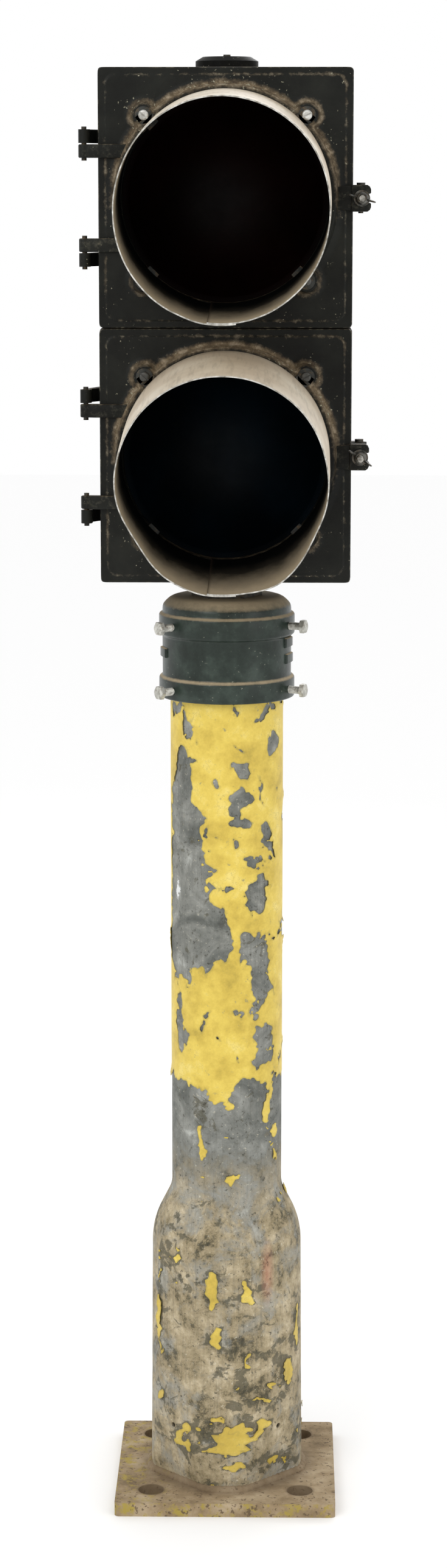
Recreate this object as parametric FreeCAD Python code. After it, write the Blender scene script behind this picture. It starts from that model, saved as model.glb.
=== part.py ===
# Two-section road or level-crossing signal head on a steel post with a belled foot.
# Millimetres, +Z up, +X to the viewer's right, the signal faces -Y.
# The origin is the centre of the base plate's underside, on the axis of the post.
import FreeCAD, Part
import math
import os

V = FreeCAD.Vector
X_AXIS, Y_AXIS, Z_AXIS = V(1, 0, 0), V(0, 1, 0), V(0, 0, 1)
FRONT = V(0, -1, 0)

# ---- driving dimensions ----------------------------------------------------------------
# anchor plate
PLATE_SIDE = 228.6
PLATE_THICK = 14.3
PLATE_CORNER_R = 5.0
ANCHOR_SPACING = 155.0
ANCHOR_HOLE_D = 27.0
WIREWAY_D = 120.0

# post: one tube, swaged up into a bell at its foot
POST_OD = 114.3
POST_WALL = 6.0
POST_TOP = 932.7
BELL_FOOT_OD = 159.5
BELL_TOP_OD = 155.8
BELL_TOP_Z = 263.0
SHOULDER_ANGLE = 27.0
SHOULDER_OUTER_R = 85.0
SHOULDER_INNER_R = 30.0
FLAT_APEX_Z = 92.0
FLAT_DEPTH = 10.0
VENT_D = 4.4
VENT_Z = 77.0
WELD_LEG = 6.5

# slip-fitter collar
SEAT_GAP = 0.3
POST_CLEARANCE = 1.6
COLLAR_WALL = 6.75
COLLAR_HEIGHT = 102.5
COLLAR_CROWN = 12.0
CROWN_ROUND = 9.0
BAND_HEIGHT = 20.0
BAND_PROUD = 4.0
DOME_HEIGHT = 18.0
PAD_PROUD = 1.0
PAD_HEIGHT = 13.0
PAD_SPAN = 24.0
PAD_ANGLES = (-72.0, 72.0)
SET_SCREW_D = 7.94
SET_SCREW_AF = 12.7
SET_SCREW_HEAD = 5.5
SET_SCREW_EXPOSED = 12.0
SET_SCREW_ANGLES = (-52.0, 67.0, 188.0)
UPPER_TIER_DROP = 28.0
LOWER_TIER_RISE = 9.5

# hollow neck between collar and head
NIPPLE_D = 48.3
NIPPLE_WALL = 3.7
NECK_GAP = 21.5
NECK_NUT_AF = 62.0
NECK_NUT_THICK = 7.5
RING_R = 36.0
RING_TEETH = 24

# one signal section
LENS_OPENING_R = 100.0
SIDE_MARGIN = 24.0
TOP_MARGIN = 25.0
CASTING_WALL = 4.0
CORNER_R = 4.0
BACK_ROUND = 8.0
HOUSING_BACK = 60.0
HOUSING_RIM = -60.0
DOOR_FACE = -82.0
PANEL_STEP = 1.0
PANEL_INSET = 7.0
PANEL_CORNER_R = 10.0
DOOR_REVEAL = 0.5
DOOR_GAP = 0.3
GASKET_THICK = 2.4
GASKET_WIDTH = 3.0
RING_WIDTH = 8.5
RING_PROUD = 10.0
EAR_R = 11.8
EAR_OFFSET = 11.4

# visor
VISOR_OVERLAP = 2.5
VISOR_SHEET = 1.2
VISOR_LENGTH = 192.0
VISOR_TILT = 3.75
VISOR_RISE = 1.4
VISOR_LAP = 27.0
TAB_R = 8.5
VISOR_SCREW_D = 4.8
VISOR_SCREW_HEAD_D = 10.0
VISOR_SCREW_HEAD = 3.0

# hinges and latch
HINGE_X = 13.0
HINGE_Y = -80.0
HINGE_PITCH = 104.0
KNUCKLE_R = 5.5
KNUCKLE_LENGTH = 13.0
KNUCKLE_GAP = 1.2
PIN_D = 5.0
PIN_END = 2.6
ARM_FRONT = -87.0
ARM_BACK = -75.0
LATCH_X = 8.0
LATCH_PIVOT_Y = -46.0
STUD_D = 6.2
STUD_TIP_Y = -110.0
EYE_R = 7.5
EYE_THICK = 8.0
LATCH_EAR = 7.5
FORK_HALF = 12.8
FORK_SLOT = 8.6
FORK_TIP = 9.0
FORK_FRONT = -88.0
WASHER_D = 16.0
WASHER_THICK = 1.6
WING_SPAN = 28.0
WING_TILTS = {"upper": 16.0, "lower": 34.0}

# optics
LENS_THICK = 4.0
LENS_BULGE = 24.0
LENS_LIP = 5.0
SEAL_WALL = 1.5
SEAL_SLACK = 0.2
CLIP_SHEET = 1.2
CLIP_WIDTH = 12.0
FRAME_Y = -50.0
FRAME_THICK = 2.5
FRAME_MARGIN = 10.0
REFLECTOR_SHEET = 1.2
REFLECTOR_VERTEX_Y = 12.0
REFLECTOR_FLAT_R = 30.0
SOCKET_R = 19.5
SOCKET_LENGTH = 36.0
LAMP_BASE_R = 13.1
LAMP_GLOBE_R = 30.0
LAMP_GLOBE_Y = -26.0

# coupling between the sections, and the closure on top
TIE_WASHER_R = 41.0
TIE_CIRCLE_R = 33.0
TIE_BOLT_D = 6.35
CAP_R = 31.0
CAP_TOP_R = 24.0
CAP_HEIGHT = 10.0
CAP_GASKET = 1.5
CAP_SCREW_D = 4.8
CAP_SCREW_HEAD_D = 7.2
CAP_SCREW_HEAD = 2.3

# clearances
RUNNING = 0.06
STATIC = 0.03
THREAD_FIT = 0.05

# ---- derived places --------------------------------------------------------------------
SECTION_W = 2 * (LENS_OPENING_R + SIDE_MARGIN)
SECTION_H = 2 * (LENS_OPENING_R + TOP_MARGIN)
COLLAR_BORE_R = POST_OD / 2 + POST_CLEARANCE
COLLAR_R = COLLAR_BORE_R + COLLAR_WALL
BAND_R = COLLAR_R + BAND_PROUD
CROWN_UNDER = POST_TOP + SEAT_GAP
COLLAR_TOP = CROWN_UNDER + COLLAR_CROWN
COLLAR_BOTTOM = COLLAR_TOP - COLLAR_HEIGHT
SCREW_TIERS = {"upper": COLLAR_TOP - UPPER_TIER_DROP, "lower": COLLAR_BOTTOM + LOWER_TIER_RISE}
HEAD_BOTTOM = COLLAR_TOP + NECK_GAP
JOINT_Z = HEAD_BOTTOM + SECTION_H
HEAD_TOP = HEAD_BOTTOM + 2 * SECTION_H
CENTRES = {"lower": HEAD_BOTTOM + SECTION_H / 2, "upper": JOINT_Z + SECTION_H / 2}

DOOR_BACK = HOUSING_RIM - GASKET_THICK - DOOR_GAP
DOOR_BASE = DOOR_FACE + PANEL_STEP
DOOR_INNER = DOOR_BASE + CASTING_WALL
RING_FACE = DOOR_FACE - RING_PROUD
VISOR_R = LENS_OPENING_R + VISOR_OVERLAP
EAR_XZ = (LENS_OPENING_R + EAR_OFFSET) / math.sqrt(2)
HINGE_AXIS_X = -SECTION_W / 2 - HINGE_X
LATCH_AXIS_X = SECTION_W / 2 + LATCH_X
LENS_RIM_FRONT = DOOR_INNER + SEAL_WALL + SEAL_SLACK
LENS_RIM_BACK = LENS_RIM_FRONT + LENS_THICK
SEAL_BACK = LENS_RIM_BACK + SEAL_SLACK + SEAL_WALL
LENS_RIM_R = LENS_OPENING_R + LENS_LIP
SEAL_R = LENS_RIM_R + SEAL_SLACK + 2.3
CLIP_RISER_R = SEAL_R + 0.7
CLIP_SCREW_R = CLIP_RISER_R + 5.1
FRAME_HALF = LENS_OPENING_R + FRAME_MARGIN
FRAME_SCREW_XZ = FRAME_HALF - 11.0
REFLECTOR_RIM_R = LENS_OPENING_R - 2.0
FOCAL_LENGTH = REFLECTOR_RIM_R ** 2 / (4 * (REFLECTOR_VERTEX_Y - FRAME_Y))
PORT_R = NIPPLE_D / 2 + 0.85
WASHER_BACK = FORK_FRONT
NUT_BACK = WASHER_BACK - WASHER_THICK

CORNERS = [(-1, -1), (1, -1), (1, 1), (-1, 1)]
parts = {}


# ---- shape helpers ---------------------------------------------------------------------
def box(x0, x1, y0, y1, z0, z1):
    """A box between two corners, given low and high along each axis."""
    return Part.makeBox(x1 - x0, y1 - y0, z1 - z0, V(x0, y0, z0))


def rod(radius, start, axis, length):
    """A solid cylinder from a point along an axis."""
    return Part.makeCylinder(radius, length, start, axis)


def tube(outer, inner, start, axis, length):
    """A hollow cylinder with flat ends."""
    return rod(outer, start, axis, length).cut(rod(inner, start, axis, length))


def prism(corners, axis, start, length):
    """A polygon given in the plane across an axis (the other two axes in order), extruded."""
    if axis == "z":
        points = [V(a, b, start) for a, b in corners]
        run = V(0, 0, length)
    else:
        points = [V(a, start, b) for a, b in corners]
        run = V(0, length, 0)
    face = Part.Face(Part.makePolygon(points + points[:1]))
    return face.extrude(run)


def hexagon(across_flats, start, axis, length):
    """A hexagonal bar from a point along an axis."""
    reach = across_flats / math.sqrt(3)
    points = [V(reach * math.cos(math.radians(60 * i)), reach * math.sin(math.radians(60 * i)), 0)
              for i in range(6)]
    bar = Part.Face(Part.makePolygon(points + points[:1])).extrude(V(0, 0, length))
    bar.Placement = FreeCAD.Placement(start, FreeCAD.Rotation(Z_AXIS, axis))
    return bar


def rounded_slab(width, height, radius, y0, y1, centre_z):
    """A slab across Y with rounded corners, centred on x = 0 and a height."""
    slab = box(-width / 2, width / 2, y0, y1, centre_z - height / 2, centre_z + height / 2)
    uprights = [e for e in slab.Edges if abs(e.Vertexes[0].Y - e.Vertexes[1].Y) > 1e-6]
    return slab.makeFillet(radius, uprights)


def lathe_z(edges_or_points):
    """A profile of (radius, height) turned about the Z axis."""
    return turned(edges_or_points, lambda r, h: V(r, 0, h), Z_AXIS)


def lathe_y(edges_or_points, centre_z):
    """A profile of (radius, y) turned about the line along Y at a height."""
    solid = turned(edges_or_points, lambda r, h: V(r, h, 0), Y_AXIS)
    solid.translate(V(0, 0, centre_z))
    return solid


def turned(profile, place, axis):
    """A closed profile turned a full circle. A point makes a line from the last one, a pair
    of points an arc through the first, and a longer list a smooth curve through them all."""
    edges = []
    last = first = place(*profile[0])
    for item in profile[1:]:
        run = [place(*p) for p in item] if isinstance(item, list) else [place(*item)]
        if len(run) == 1:
            edges.append(Part.LineSegment(last, run[0]).toShape())
        elif len(run) == 2:
            edges.append(Part.Arc(last, run[0], run[1]).toShape())
        else:
            curve = Part.BSplineCurve()
            curve.interpolate([last] + run)
            edges.append(curve.toShape())
        last = run[-1]
    edges.append(Part.LineSegment(last, first).toShape())
    return Part.Face(Part.Wire(edges)).revolve(V(0, 0, 0), axis, 360)


def ring_edges(shape, axis_value, radius):
    """The circular edges of a radius whose centre is at a height."""
    found = []
    for edge in shape.Edges:
        if edge.Curve.TypeId == "Part::GeomCircle" and abs(edge.Curve.Radius - radius) < 1e-4:
            if abs(edge.Curve.Center.z - axis_value) < 1e-4:
                found.append(edge)
    return found


def turn_about_z(shape, degrees):
    """A copy of a shape, turned about the post's axis."""
    turned_copy = shape.copy()
    turned_copy.rotate(V(0, 0, 0), Z_AXIS, degrees)
    return turned_copy


def group(solids):
    """Identical fasteners kept as one group of separate solids."""
    return Part.makeCompound(solids)


# ---- anchor plate and post -------------------------------------------------------------
def base_plate():
    """Square flame-cut plate with four anchor holes and a wireway under the post."""
    half = PLATE_SIDE / 2
    plate = box(-half, half, -half, half, 0, PLATE_THICK)
    uprights = [e for e in plate.Edges if abs(e.Vertexes[0].Z - e.Vertexes[1].Z) > 1e-6]
    plate = plate.makeFillet(PLATE_CORNER_R, uprights)
    plate = plate.cut(rod(WIREWAY_D / 2, V(0, 0, -1), Z_AXIS, PLATE_THICK + 2))
    for sx, sy in CORNERS:
        centre = V(sx * ANCHOR_SPACING / 2, sy * ANCHOR_SPACING / 2, -1)
        plate = plate.cut(rod(ANCHOR_HOLE_D / 2, centre, Z_AXIS, PLATE_THICK + 2))
    return plate


def post_body(inset):
    """The solid inside the post's outer skin, moved inwards by an inset: bell, S-shaped
    shoulder of a convex arc, a straight and a concave arc, and the plain tube above."""
    angle = math.radians(SHOULDER_ANGLE)
    foot_r = BELL_FOOT_OD / 2 - inset
    bell_r = BELL_TOP_OD / 2 - inset
    post_r = POST_OD / 2 - inset
    convex = SHOULDER_OUTER_R - inset
    concave = SHOULDER_INNER_R + inset
    drop_out, drop_in = convex * (1 - math.cos(angle)), concave * (1 - math.cos(angle))
    straight_drop = (BELL_TOP_OD - POST_OD) / 2 - drop_out - drop_in
    straight_rise = straight_drop / math.tan(angle)
    z0 = BELL_TOP_Z
    z1 = z0 + convex * math.sin(angle)
    z2 = z1 + straight_rise
    z3 = z2 + concave * math.sin(angle)
    half = angle / 2
    upper_mid = (post_r + concave * (1 - math.cos(half)), z3 - concave * math.sin(half))
    lower_mid = (bell_r - convex * (1 - math.cos(half)), z0 + convex * math.sin(half))
    return lathe_z([
        (0, PLATE_THICK), (foot_r, PLATE_THICK), (bell_r, z0),
        [lower_mid, (bell_r - drop_out, z1)],
        (post_r + drop_in, z2),
        [upper_mid, (post_r, z3)],
        (post_r, POST_TOP), (0, POST_TOP)])


def corner_flats(inset):
    """Cutters for the inclined flats pressed into the bell above each anchor hole."""
    lean = math.atan2(FLAT_DEPTH, FLAT_APEX_Z - PLATE_THICK)
    reach = BELL_FOOT_OD
    cutters = []
    for index in range(4):
        slab = box(0, reach, -reach, reach, -reach, reach)
        slab.rotate(V(0, 0, 0), Y_AXIS, math.degrees(lean))
        slab.translate(V(BELL_FOOT_OD / 2 - FLAT_DEPTH - inset, 0, PLATE_THICK))
        cutters.append(turn_about_z(slab, 45 + 90 * index))
    return cutters


def post_shaft():
    """Post tube with its bell, the four pressed flats and their small vent holes."""
    outer, inner = post_body(0), post_body(POST_WALL)
    for cutter in corner_flats(0):
        outer = outer.cut(cutter)
    for cutter in corner_flats(POST_WALL):
        inner = inner.cut(cutter)
    shaft = outer.cut(inner)
    for index in range(4):
        drill = rod(VENT_D / 2, V(0, 0, VENT_Z), X_AXIS, BELL_FOOT_OD)
        shaft = shaft.cut(turn_about_z(drill, 45 + 90 * index))
    return shaft


def foot_weld():
    """Fillet weld that follows the bell's foot, flats included."""
    foot_r = BELL_FOOT_OD / 2
    bead = Part.makeCone(foot_r + WELD_LEG, foot_r, WELD_LEG, V(0, 0, PLATE_THICK))
    outer = post_body(0)
    for cutter in corner_flats(-WELD_LEG / 2):
        bead = bead.cut(cutter)
    for cutter in corner_flats(0):
        outer = outer.cut(cutter)
    return bead.cut(outer)


# ---- collar and neck -------------------------------------------------------------------
def collar():
    """Cast slip-fitter: a cup over the post's top with two screw bands and a domed crown."""
    upper_band = COLLAR_TOP - DOME_HEIGHT
    body = rod(COLLAR_R, V(0, 0, COLLAR_BOTTOM), Z_AXIS, COLLAR_HEIGHT)
    body = body.makeFillet(CROWN_ROUND, ring_edges(body, COLLAR_TOP, COLLAR_R))
    for low in (COLLAR_BOTTOM, upper_band - BAND_HEIGHT):
        band = rod(BAND_R, V(0, 0, low), Z_AXIS, BAND_HEIGHT)
        rims = ring_edges(band, low, BAND_R) + ring_edges(band, low + BAND_HEIGHT, BAND_R)
        body = body.fuse(band.makeFillet(1.5, rims))
    pad_z = (COLLAR_BOTTOM + upper_band - PAD_HEIGHT) / 2
    for angle in PAD_ANGLES:
        pad = Part.makeCylinder(COLLAR_R + PAD_PROUD, PAD_HEIGHT, V(0, 0, pad_z), Z_AXIS, PAD_SPAN)
        body = body.fuse(turn_about_z(pad, angle - 90 - PAD_SPAN / 2))
    bore = rod(COLLAR_BORE_R, V(0, 0, COLLAR_BOTTOM - 1), Z_AXIS, CROWN_UNDER - COLLAR_BOTTOM + 1)
    body = body.cut(bore)
    hub = rod(NIPPLE_D / 2 + THREAD_FIT, V(0, 0, CROWN_UNDER - 1), Z_AXIS, COLLAR_CROWN + 2)
    body = body.cut(hub)
    for z in SCREW_TIERS.values():
        for angle in SET_SCREW_ANGLES:
            drill = rod(SET_SCREW_D / 2 + THREAD_FIT, V(0, 0, z), FRONT, BAND_R + 5)
            body = body.cut(turn_about_z(drill, angle))
    return body.removeSplitter()


def set_screws(z):
    """Three hexagon set screws that centre and clamp the collar on the post."""
    tip = POST_OD / 2 + SEAT_GAP
    head = BAND_R + SET_SCREW_EXPOSED
    screws = []
    for angle in SET_SCREW_ANGLES:
        shank = rod(SET_SCREW_D / 2, V(0, -tip, z), FRONT, head - tip)
        cap = hexagon(SET_SCREW_AF, V(0, -head, z), FRONT, SET_SCREW_HEAD)
        screws.append(turn_about_z(shank.fuse(cap), angle))
    return group(screws)


def neck():
    """Pipe nipple, its lock nuts and the toothed ring that the head sits on."""
    nipple_r = NIPPLE_D / 2
    floor_top = HEAD_BOTTOM + CASTING_WALL
    low = CROWN_UNDER + 2
    high = floor_top + 2 * NECK_NUT_THICK
    parts["neck_nipple"] = tube(nipple_r, nipple_r - NIPPLE_WALL, V(0, 0, low), Z_AXIS, high - low)
    nuts = []
    for z in (COLLAR_TOP, COLLAR_TOP + NECK_NUT_THICK, floor_top):
        nut = hexagon(NECK_NUT_AF, V(0, 0, z), Z_AXIS, NECK_NUT_THICK)
        nuts.append(nut.cut(rod(nipple_r + THREAD_FIT, V(0, 0, z - 1), Z_AXIS, NECK_NUT_THICK + 2)))
    parts["neck_lock_nuts"] = group(nuts)
    ring_z = COLLAR_TOP + 2 * NECK_NUT_THICK
    height = HEAD_BOTTOM - ring_z
    ring = tube(RING_R, nipple_r + STATIC + 0.3, V(0, 0, ring_z), Z_AXIS, height)
    for index in range(RING_TEETH):
        notch = box(RING_R - 3, RING_R + 1, -1.2, 1.2, HEAD_BOTTOM - 1.2, HEAD_BOTTOM + 1)
        ring = ring.cut(turn_about_z(notch, 360 / RING_TEETH * index))
    parts["neck_toothed_ring"] = ring


# ---- housings --------------------------------------------------------------------------
def hinge_spans():
    """For each hinge of a section: its arm's and lug's low ends above the centre."""
    half_gap = KNUCKLE_GAP / 2
    high = HINGE_PITCH / 2
    return [(high - half_gap - KNUCKLE_LENGTH, high + half_gap),
            (-high + half_gap, -high - half_gap - KNUCKLE_LENGTH)]


def housing(name, centre):
    """Cast box, open to the front, with hinge lugs, latch ears, wire ports and frame lugs."""
    half_w, half_h = SECTION_W / 2, SECTION_H / 2
    wall = CASTING_WALL
    shell = rounded_slab(SECTION_W, SECTION_H, CORNER_R, HOUSING_RIM, HOUSING_BACK, centre)
    back = [e for e in shell.Edges if all(abs(v.Y - HOUSING_BACK) < 1e-6 for v in e.Vertexes)]
    shell = shell.makeFillet(BACK_ROUND, back)
    shell = shell.cut(rounded_slab(SECTION_W - 2 * wall, SECTION_H - 2 * wall, CORNER_R,
                                   HOUSING_RIM - 1, HOUSING_BACK - wall, centre))
    lug_y = FRAME_Y + FRAME_THICK
    inner = FRAME_SCREW_XZ - 7
    for sx, sz in CORNERS:
        xs = sorted((sx * inner, sx * (half_w - wall / 2)))
        zs = sorted((centre + sz * inner, centre + sz * (half_h - wall / 2)))
        shell = shell.fuse(box(xs[0], xs[1], lug_y, lug_y + 12, zs[0], zs[1]))
        hole = V(sx * FRAME_SCREW_XZ, lug_y - 1, centre + sz * FRAME_SCREW_XZ)
        shell = shell.cut(rod(2.0 + THREAD_FIT, hole, Y_AXIS, 11))
    for _, low in hinge_spans():
        shell = shell.fuse(hinge_lug(centre + low))
    for low in (EYE_THICK / 2 + KNUCKLE_GAP / 2, -EYE_THICK / 2 - KNUCKLE_GAP / 2 - LATCH_EAR):
        ear = rod(EYE_R, V(LATCH_AXIS_X, LATCH_PIVOT_Y, centre + low), Z_AXIS, LATCH_EAR)
        web = box(half_w - wall / 2, LATCH_AXIS_X, LATCH_PIVOT_Y - EYE_R, LATCH_PIVOT_Y + EYE_R + 6,
                  centre + low, centre + low + LATCH_EAR)
        shell = shell.fuse(ear.fuse(web))
    pin_hole = rod(PIN_D / 2 + STATIC, V(HINGE_AXIS_X, HINGE_Y, centre - half_h), Z_AXIS, SECTION_H)
    pivot_hole = rod(PIN_D / 2 + STATIC, V(LATCH_AXIS_X, LATCH_PIVOT_Y, centre - 20), Z_AXIS, 40)
    ports = rod(PORT_R, V(0, 0, centre - half_h - 1), Z_AXIS, SECTION_H + 2)
    shell = shell.cut(pin_hole).cut(pivot_hole).cut(ports)
    joint_low = JOINT_Z - wall - 1
    for point in tie_points(joint_low):
        shell = shell.cut(rod(TIE_BOLT_D / 2 + STATIC + 0.3, point, Z_AXIS, 2 * wall + 2))
    if name == "lower":
        for x, z in terminal_mounts(centre):
            shell = shell.cut(rod(2.0 + THREAD_FIT, V(x, HOUSING_BACK - wall - 1, z), Y_AXIS, 3.5))
    return shell.removeSplitter()


def hinge_lug(low):
    """Tapered web from the housing's side wall out to the hinge pin."""
    side = -SECTION_W / 2
    right = HINGE_AXIS_X + KNUCKLE_R
    outline = [(side + CASTING_WALL / 2, -36), (side - 3, -36), (HINGE_AXIS_X - KNUCKLE_R, HINGE_Y),
               (right, HINGE_Y), (right, HINGE_Y + 12), (side - 2, HOUSING_RIM + 1),
               (side + CASTING_WALL / 2, HOUSING_RIM + 3)]
    web = prism(outline, "z", low, KNUCKLE_LENGTH)
    return web.fuse(rod(KNUCKLE_R, V(HINGE_AXIS_X, HINGE_Y, low), Z_AXIS, KNUCKLE_LENGTH))


def hinge_pins(centre):
    """Two short pins, each held in a lug and standing a little out at both ends."""
    pins = []
    for arm_low, lug_low in hinge_spans():
        low = min(arm_low, lug_low) - PIN_END
        high = max(arm_low, lug_low) + KNUCKLE_LENGTH + PIN_END
        pins.append(rod(PIN_D / 2, V(HINGE_AXIS_X, HINGE_Y, centre + low), Z_AXIS, high - low))
    return group(pins)


def door_gasket(centre):
    """Rubber cord laid round the housing's rim."""
    y0, y1 = HOUSING_RIM - GASKET_THICK, HOUSING_RIM
    inset = 0.6
    width, height = SECTION_W - 2 * inset, SECTION_H - 2 * inset
    seal = rounded_slab(width, height, CORNER_R, y0, y1, centre)
    return seal.cut(rounded_slab(width - 2 * GASKET_WIDTH, height - 2 * GASKET_WIDTH, 2.0,
                                 y0 - 1, y1 + 1, centre))


# ---- doors -----------------------------------------------------------------------------
def door(centre):
    """Cast door: a shallow tray with a raised panel, a lens ring with four ears, two hinge
    arms and the latch fork."""
    width, height = SECTION_W - 2 * DOOR_REVEAL, SECTION_H - 2 * DOOR_REVEAL
    wall = CASTING_WALL
    tray = rounded_slab(width, height, CORNER_R, DOOR_BASE, DOOR_BACK, centre)
    tray = tray.cut(rounded_slab(width - 2 * wall, height - 2 * wall, CORNER_R,
                                 DOOR_INNER, DOOR_BACK + 1, centre))
    panel = rounded_slab(width - 2 * PANEL_INSET, height - 2 * PANEL_INSET, PANEL_CORNER_R,
                         DOOR_FACE, DOOR_INNER, centre)
    ring = rod(LENS_OPENING_R + RING_WIDTH, V(0, RING_FACE, centre), Y_AXIS, DOOR_INNER - RING_FACE)
    rim = [e for e in ring.Edges if e.Vertexes[0].Y < RING_FACE + 1e-6 and len(e.Vertexes) == 1]
    body = tray.fuse([panel, ring.makeFillet(2.0, rim)])
    for sx, sz in CORNERS:
        ear = rod(EAR_R, V(sx * EAR_XZ, RING_FACE, centre + sz * EAR_XZ), Y_AXIS,
                  DOOR_INNER - RING_FACE)
        body = body.fuse(ear)
    for low, _ in hinge_spans():
        body = body.fuse(door_arm(centre + low))
    body = body.fuse(latch_fork(centre))
    opening = rod(LENS_OPENING_R, V(0, RING_FACE - 1, centre), Y_AXIS, 60)
    body = body.cut(opening)
    for x, z in clip_points(centre):
        boss = rod(4.5, V(x, DOOR_INNER - 1, z), Y_AXIS, 5)
        body = body.fuse(boss).cut(rod(1.55 + THREAD_FIT, V(x, DOOR_INNER - 1.5, z), Y_AXIS, 7))
    for sx, sz in CORNERS:
        start = V(sx * EAR_XZ, RING_FACE - 1, centre + sz * EAR_XZ)
        body = body.cut(rod(VISOR_SCREW_D / 2 + THREAD_FIT, start, Y_AXIS, 14))
    pin_hole = rod(PIN_D / 2 + RUNNING, V(HINGE_AXIS_X, HINGE_Y, centre - height / 2), Z_AXIS, height)
    return body.cut(pin_hole).removeSplitter()


def door_arm(low):
    """Hinge arm: a rib from the lens ring across the face, ending in a knuckle."""
    reach = math.sqrt((LENS_OPENING_R + RING_WIDTH) ** 2 - (HINGE_PITCH / 2) ** 2)
    edge = -SECTION_W / 2 + CASTING_WALL / 2
    outline = [(-reach + 4, ARM_FRONT + 3), (-reach + 4, DOOR_INNER - 1), (edge, DOOR_INNER - 1),
               (edge, ARM_BACK), (HINGE_AXIS_X, ARM_BACK + 0.5), (HINGE_AXIS_X, ARM_FRONT + 1.5),
               (-SECTION_W / 2, ARM_FRONT)]
    rib = prism(outline, "z", low, KNUCKLE_LENGTH)
    return rib.fuse(rod(KNUCKLE_R, V(HINGE_AXIS_X, HINGE_Y, low), Z_AXIS, KNUCKLE_LENGTH))


def latch_fork(centre):
    """Forked lug with an open slot for the swing stud. Its front is crowned about the
    stud's pivot, so the washer sweeps clear of it when the stud is swung out."""
    tip_x = LATCH_AXIS_X + FORK_TIP
    edge = SECTION_W / 2 - CASTING_WALL / 2
    chamfer = 3.0
    outline = [(edge, centre - FORK_HALF),
               (tip_x - chamfer, centre - FORK_HALF), (tip_x, centre - FORK_HALF + chamfer),
               (tip_x, centre + FORK_HALF - chamfer), (tip_x - chamfer, centre + FORK_HALF),
               (edge, centre + FORK_HALF)]
    lug = prism(outline, "y", FORK_FRONT, ARM_BACK - FORK_FRONT)
    crown_r = LATCH_PIVOT_Y - FORK_FRONT - DOOR_GAP
    crown = rod(crown_r, V(LATCH_AXIS_X, LATCH_PIVOT_Y, centre - FORK_HALF - 1), Z_AXIS,
                2 * FORK_HALF + 2)
    lug = lug.common(crown)
    slot_end = LATCH_AXIS_X - 1
    slot = box(slot_end, tip_x + 1, FORK_FRONT - 1, ARM_BACK + 1,
               centre - FORK_SLOT / 2, centre + FORK_SLOT / 2)
    round_end = rod(FORK_SLOT / 2, V(slot_end, FORK_FRONT - 1, centre), Y_AXIS, 20)
    root_x = LENS_OPENING_R + RING_WIDTH / 2
    rib_outline = [(root_x, centre - 8), (edge + 1, centre - FORK_HALF),
                   (edge + 1, centre + FORK_HALF), (root_x, centre + 8)]
    rib = prism(rib_outline, "y", FORK_FRONT + 2, DOOR_INNER - 1 - FORK_FRONT - 2)
    return lug.fuse(rib).cut(slot.fuse(round_end))


def clip_points(centre):
    """The four lens-clip screws, at the sides, top and bottom of the opening."""
    return [(CLIP_SCREW_R * math.cos(math.radians(a)), centre + CLIP_SCREW_R * math.sin(math.radians(a)))
            for a in (0, 90, 180, 270)]


def lens(centre):
    """Convex coloured glass with a flat rim, its prisms left to the finish."""
    edge_r = LENS_OPENING_R - 2
    sphere_r = (edge_r ** 2 + LENS_BULGE ** 2) / (2 * LENS_BULGE)
    half = math.asin(edge_r / sphere_r) / 2
    front = LENS_RIM_FRONT - LENS_BULGE
    mid = (sphere_r * math.sin(half), front + sphere_r * (1 - math.cos(half)))
    inner_edge = edge_r - 3
    inner_half = math.asin(inner_edge / sphere_r) / 2
    inner_mid = (sphere_r * math.sin(inner_half),
                 front + LENS_THICK + sphere_r * (1 - math.cos(inner_half)))
    inner_end = front + LENS_THICK + sphere_r * (1 - math.cos(2 * inner_half))
    return lathe_y([
        (0, front), [mid, (edge_r, LENS_RIM_FRONT)], (LENS_RIM_R, LENS_RIM_FRONT),
        (LENS_RIM_R, LENS_RIM_BACK), (inner_edge, LENS_RIM_BACK), (inner_edge, inner_end),
        [inner_mid, (0, front + LENS_THICK)]], centre)


def lens_seal(centre):
    """Rubber channel round the lens rim."""
    lip_r = LENS_OPENING_R + 1
    return lathe_y([
        (lip_r, DOOR_INNER), (SEAL_R, DOOR_INNER), (SEAL_R, SEAL_BACK), (lip_r, SEAL_BACK),
        (lip_r, SEAL_BACK - SEAL_WALL), (LENS_RIM_R + SEAL_SLACK, SEAL_BACK - SEAL_WALL),
        (LENS_RIM_R + SEAL_SLACK, DOOR_INNER + SEAL_WALL), (lip_r, DOOR_INNER + SEAL_WALL)], centre)


def lens_clips(centre):
    """Four bent spring clips that press the seal to the door, and their screws."""
    boss_top = DOOR_INNER + 4
    half = CLIP_WIDTH / 2
    finger_y = SEAL_BACK
    clips, screws = [], []
    for angle in (0, 90, 180, 270):
        foot = box(CLIP_RISER_R, CLIP_SCREW_R + 4.5, boss_top, boss_top + CLIP_SHEET, -half, half)
        riser = box(CLIP_RISER_R, CLIP_RISER_R + CLIP_SHEET, boss_top, finger_y + CLIP_SHEET, -half, half)
        finger = box(LENS_OPENING_R + 1, CLIP_RISER_R + CLIP_SHEET, finger_y, finger_y + CLIP_SHEET,
                     -half, half)
        hole = rod(1.8, V(CLIP_SCREW_R, boss_top - 1, 0), Y_AXIS, 4)
        clip = foot.fuse([riser, finger]).cut(hole).removeSplitter()
        head = rod(3.1, V(CLIP_SCREW_R, boss_top + CLIP_SHEET, 0), Y_AXIS, 2.0)
        shank = rod(1.55, V(CLIP_SCREW_R, DOOR_INNER - 1.2, 0), Y_AXIS, boss_top - DOOR_INNER + 2.5)
        for solids, shape in ((clips, clip), (screws, head.fuse(shank))):
            shape.rotate(V(0, 0, 0), FRONT, angle)
            shape.translate(V(0, 0, centre))
            solids.append(shape)
    return group(clips), group(screws)


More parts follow.
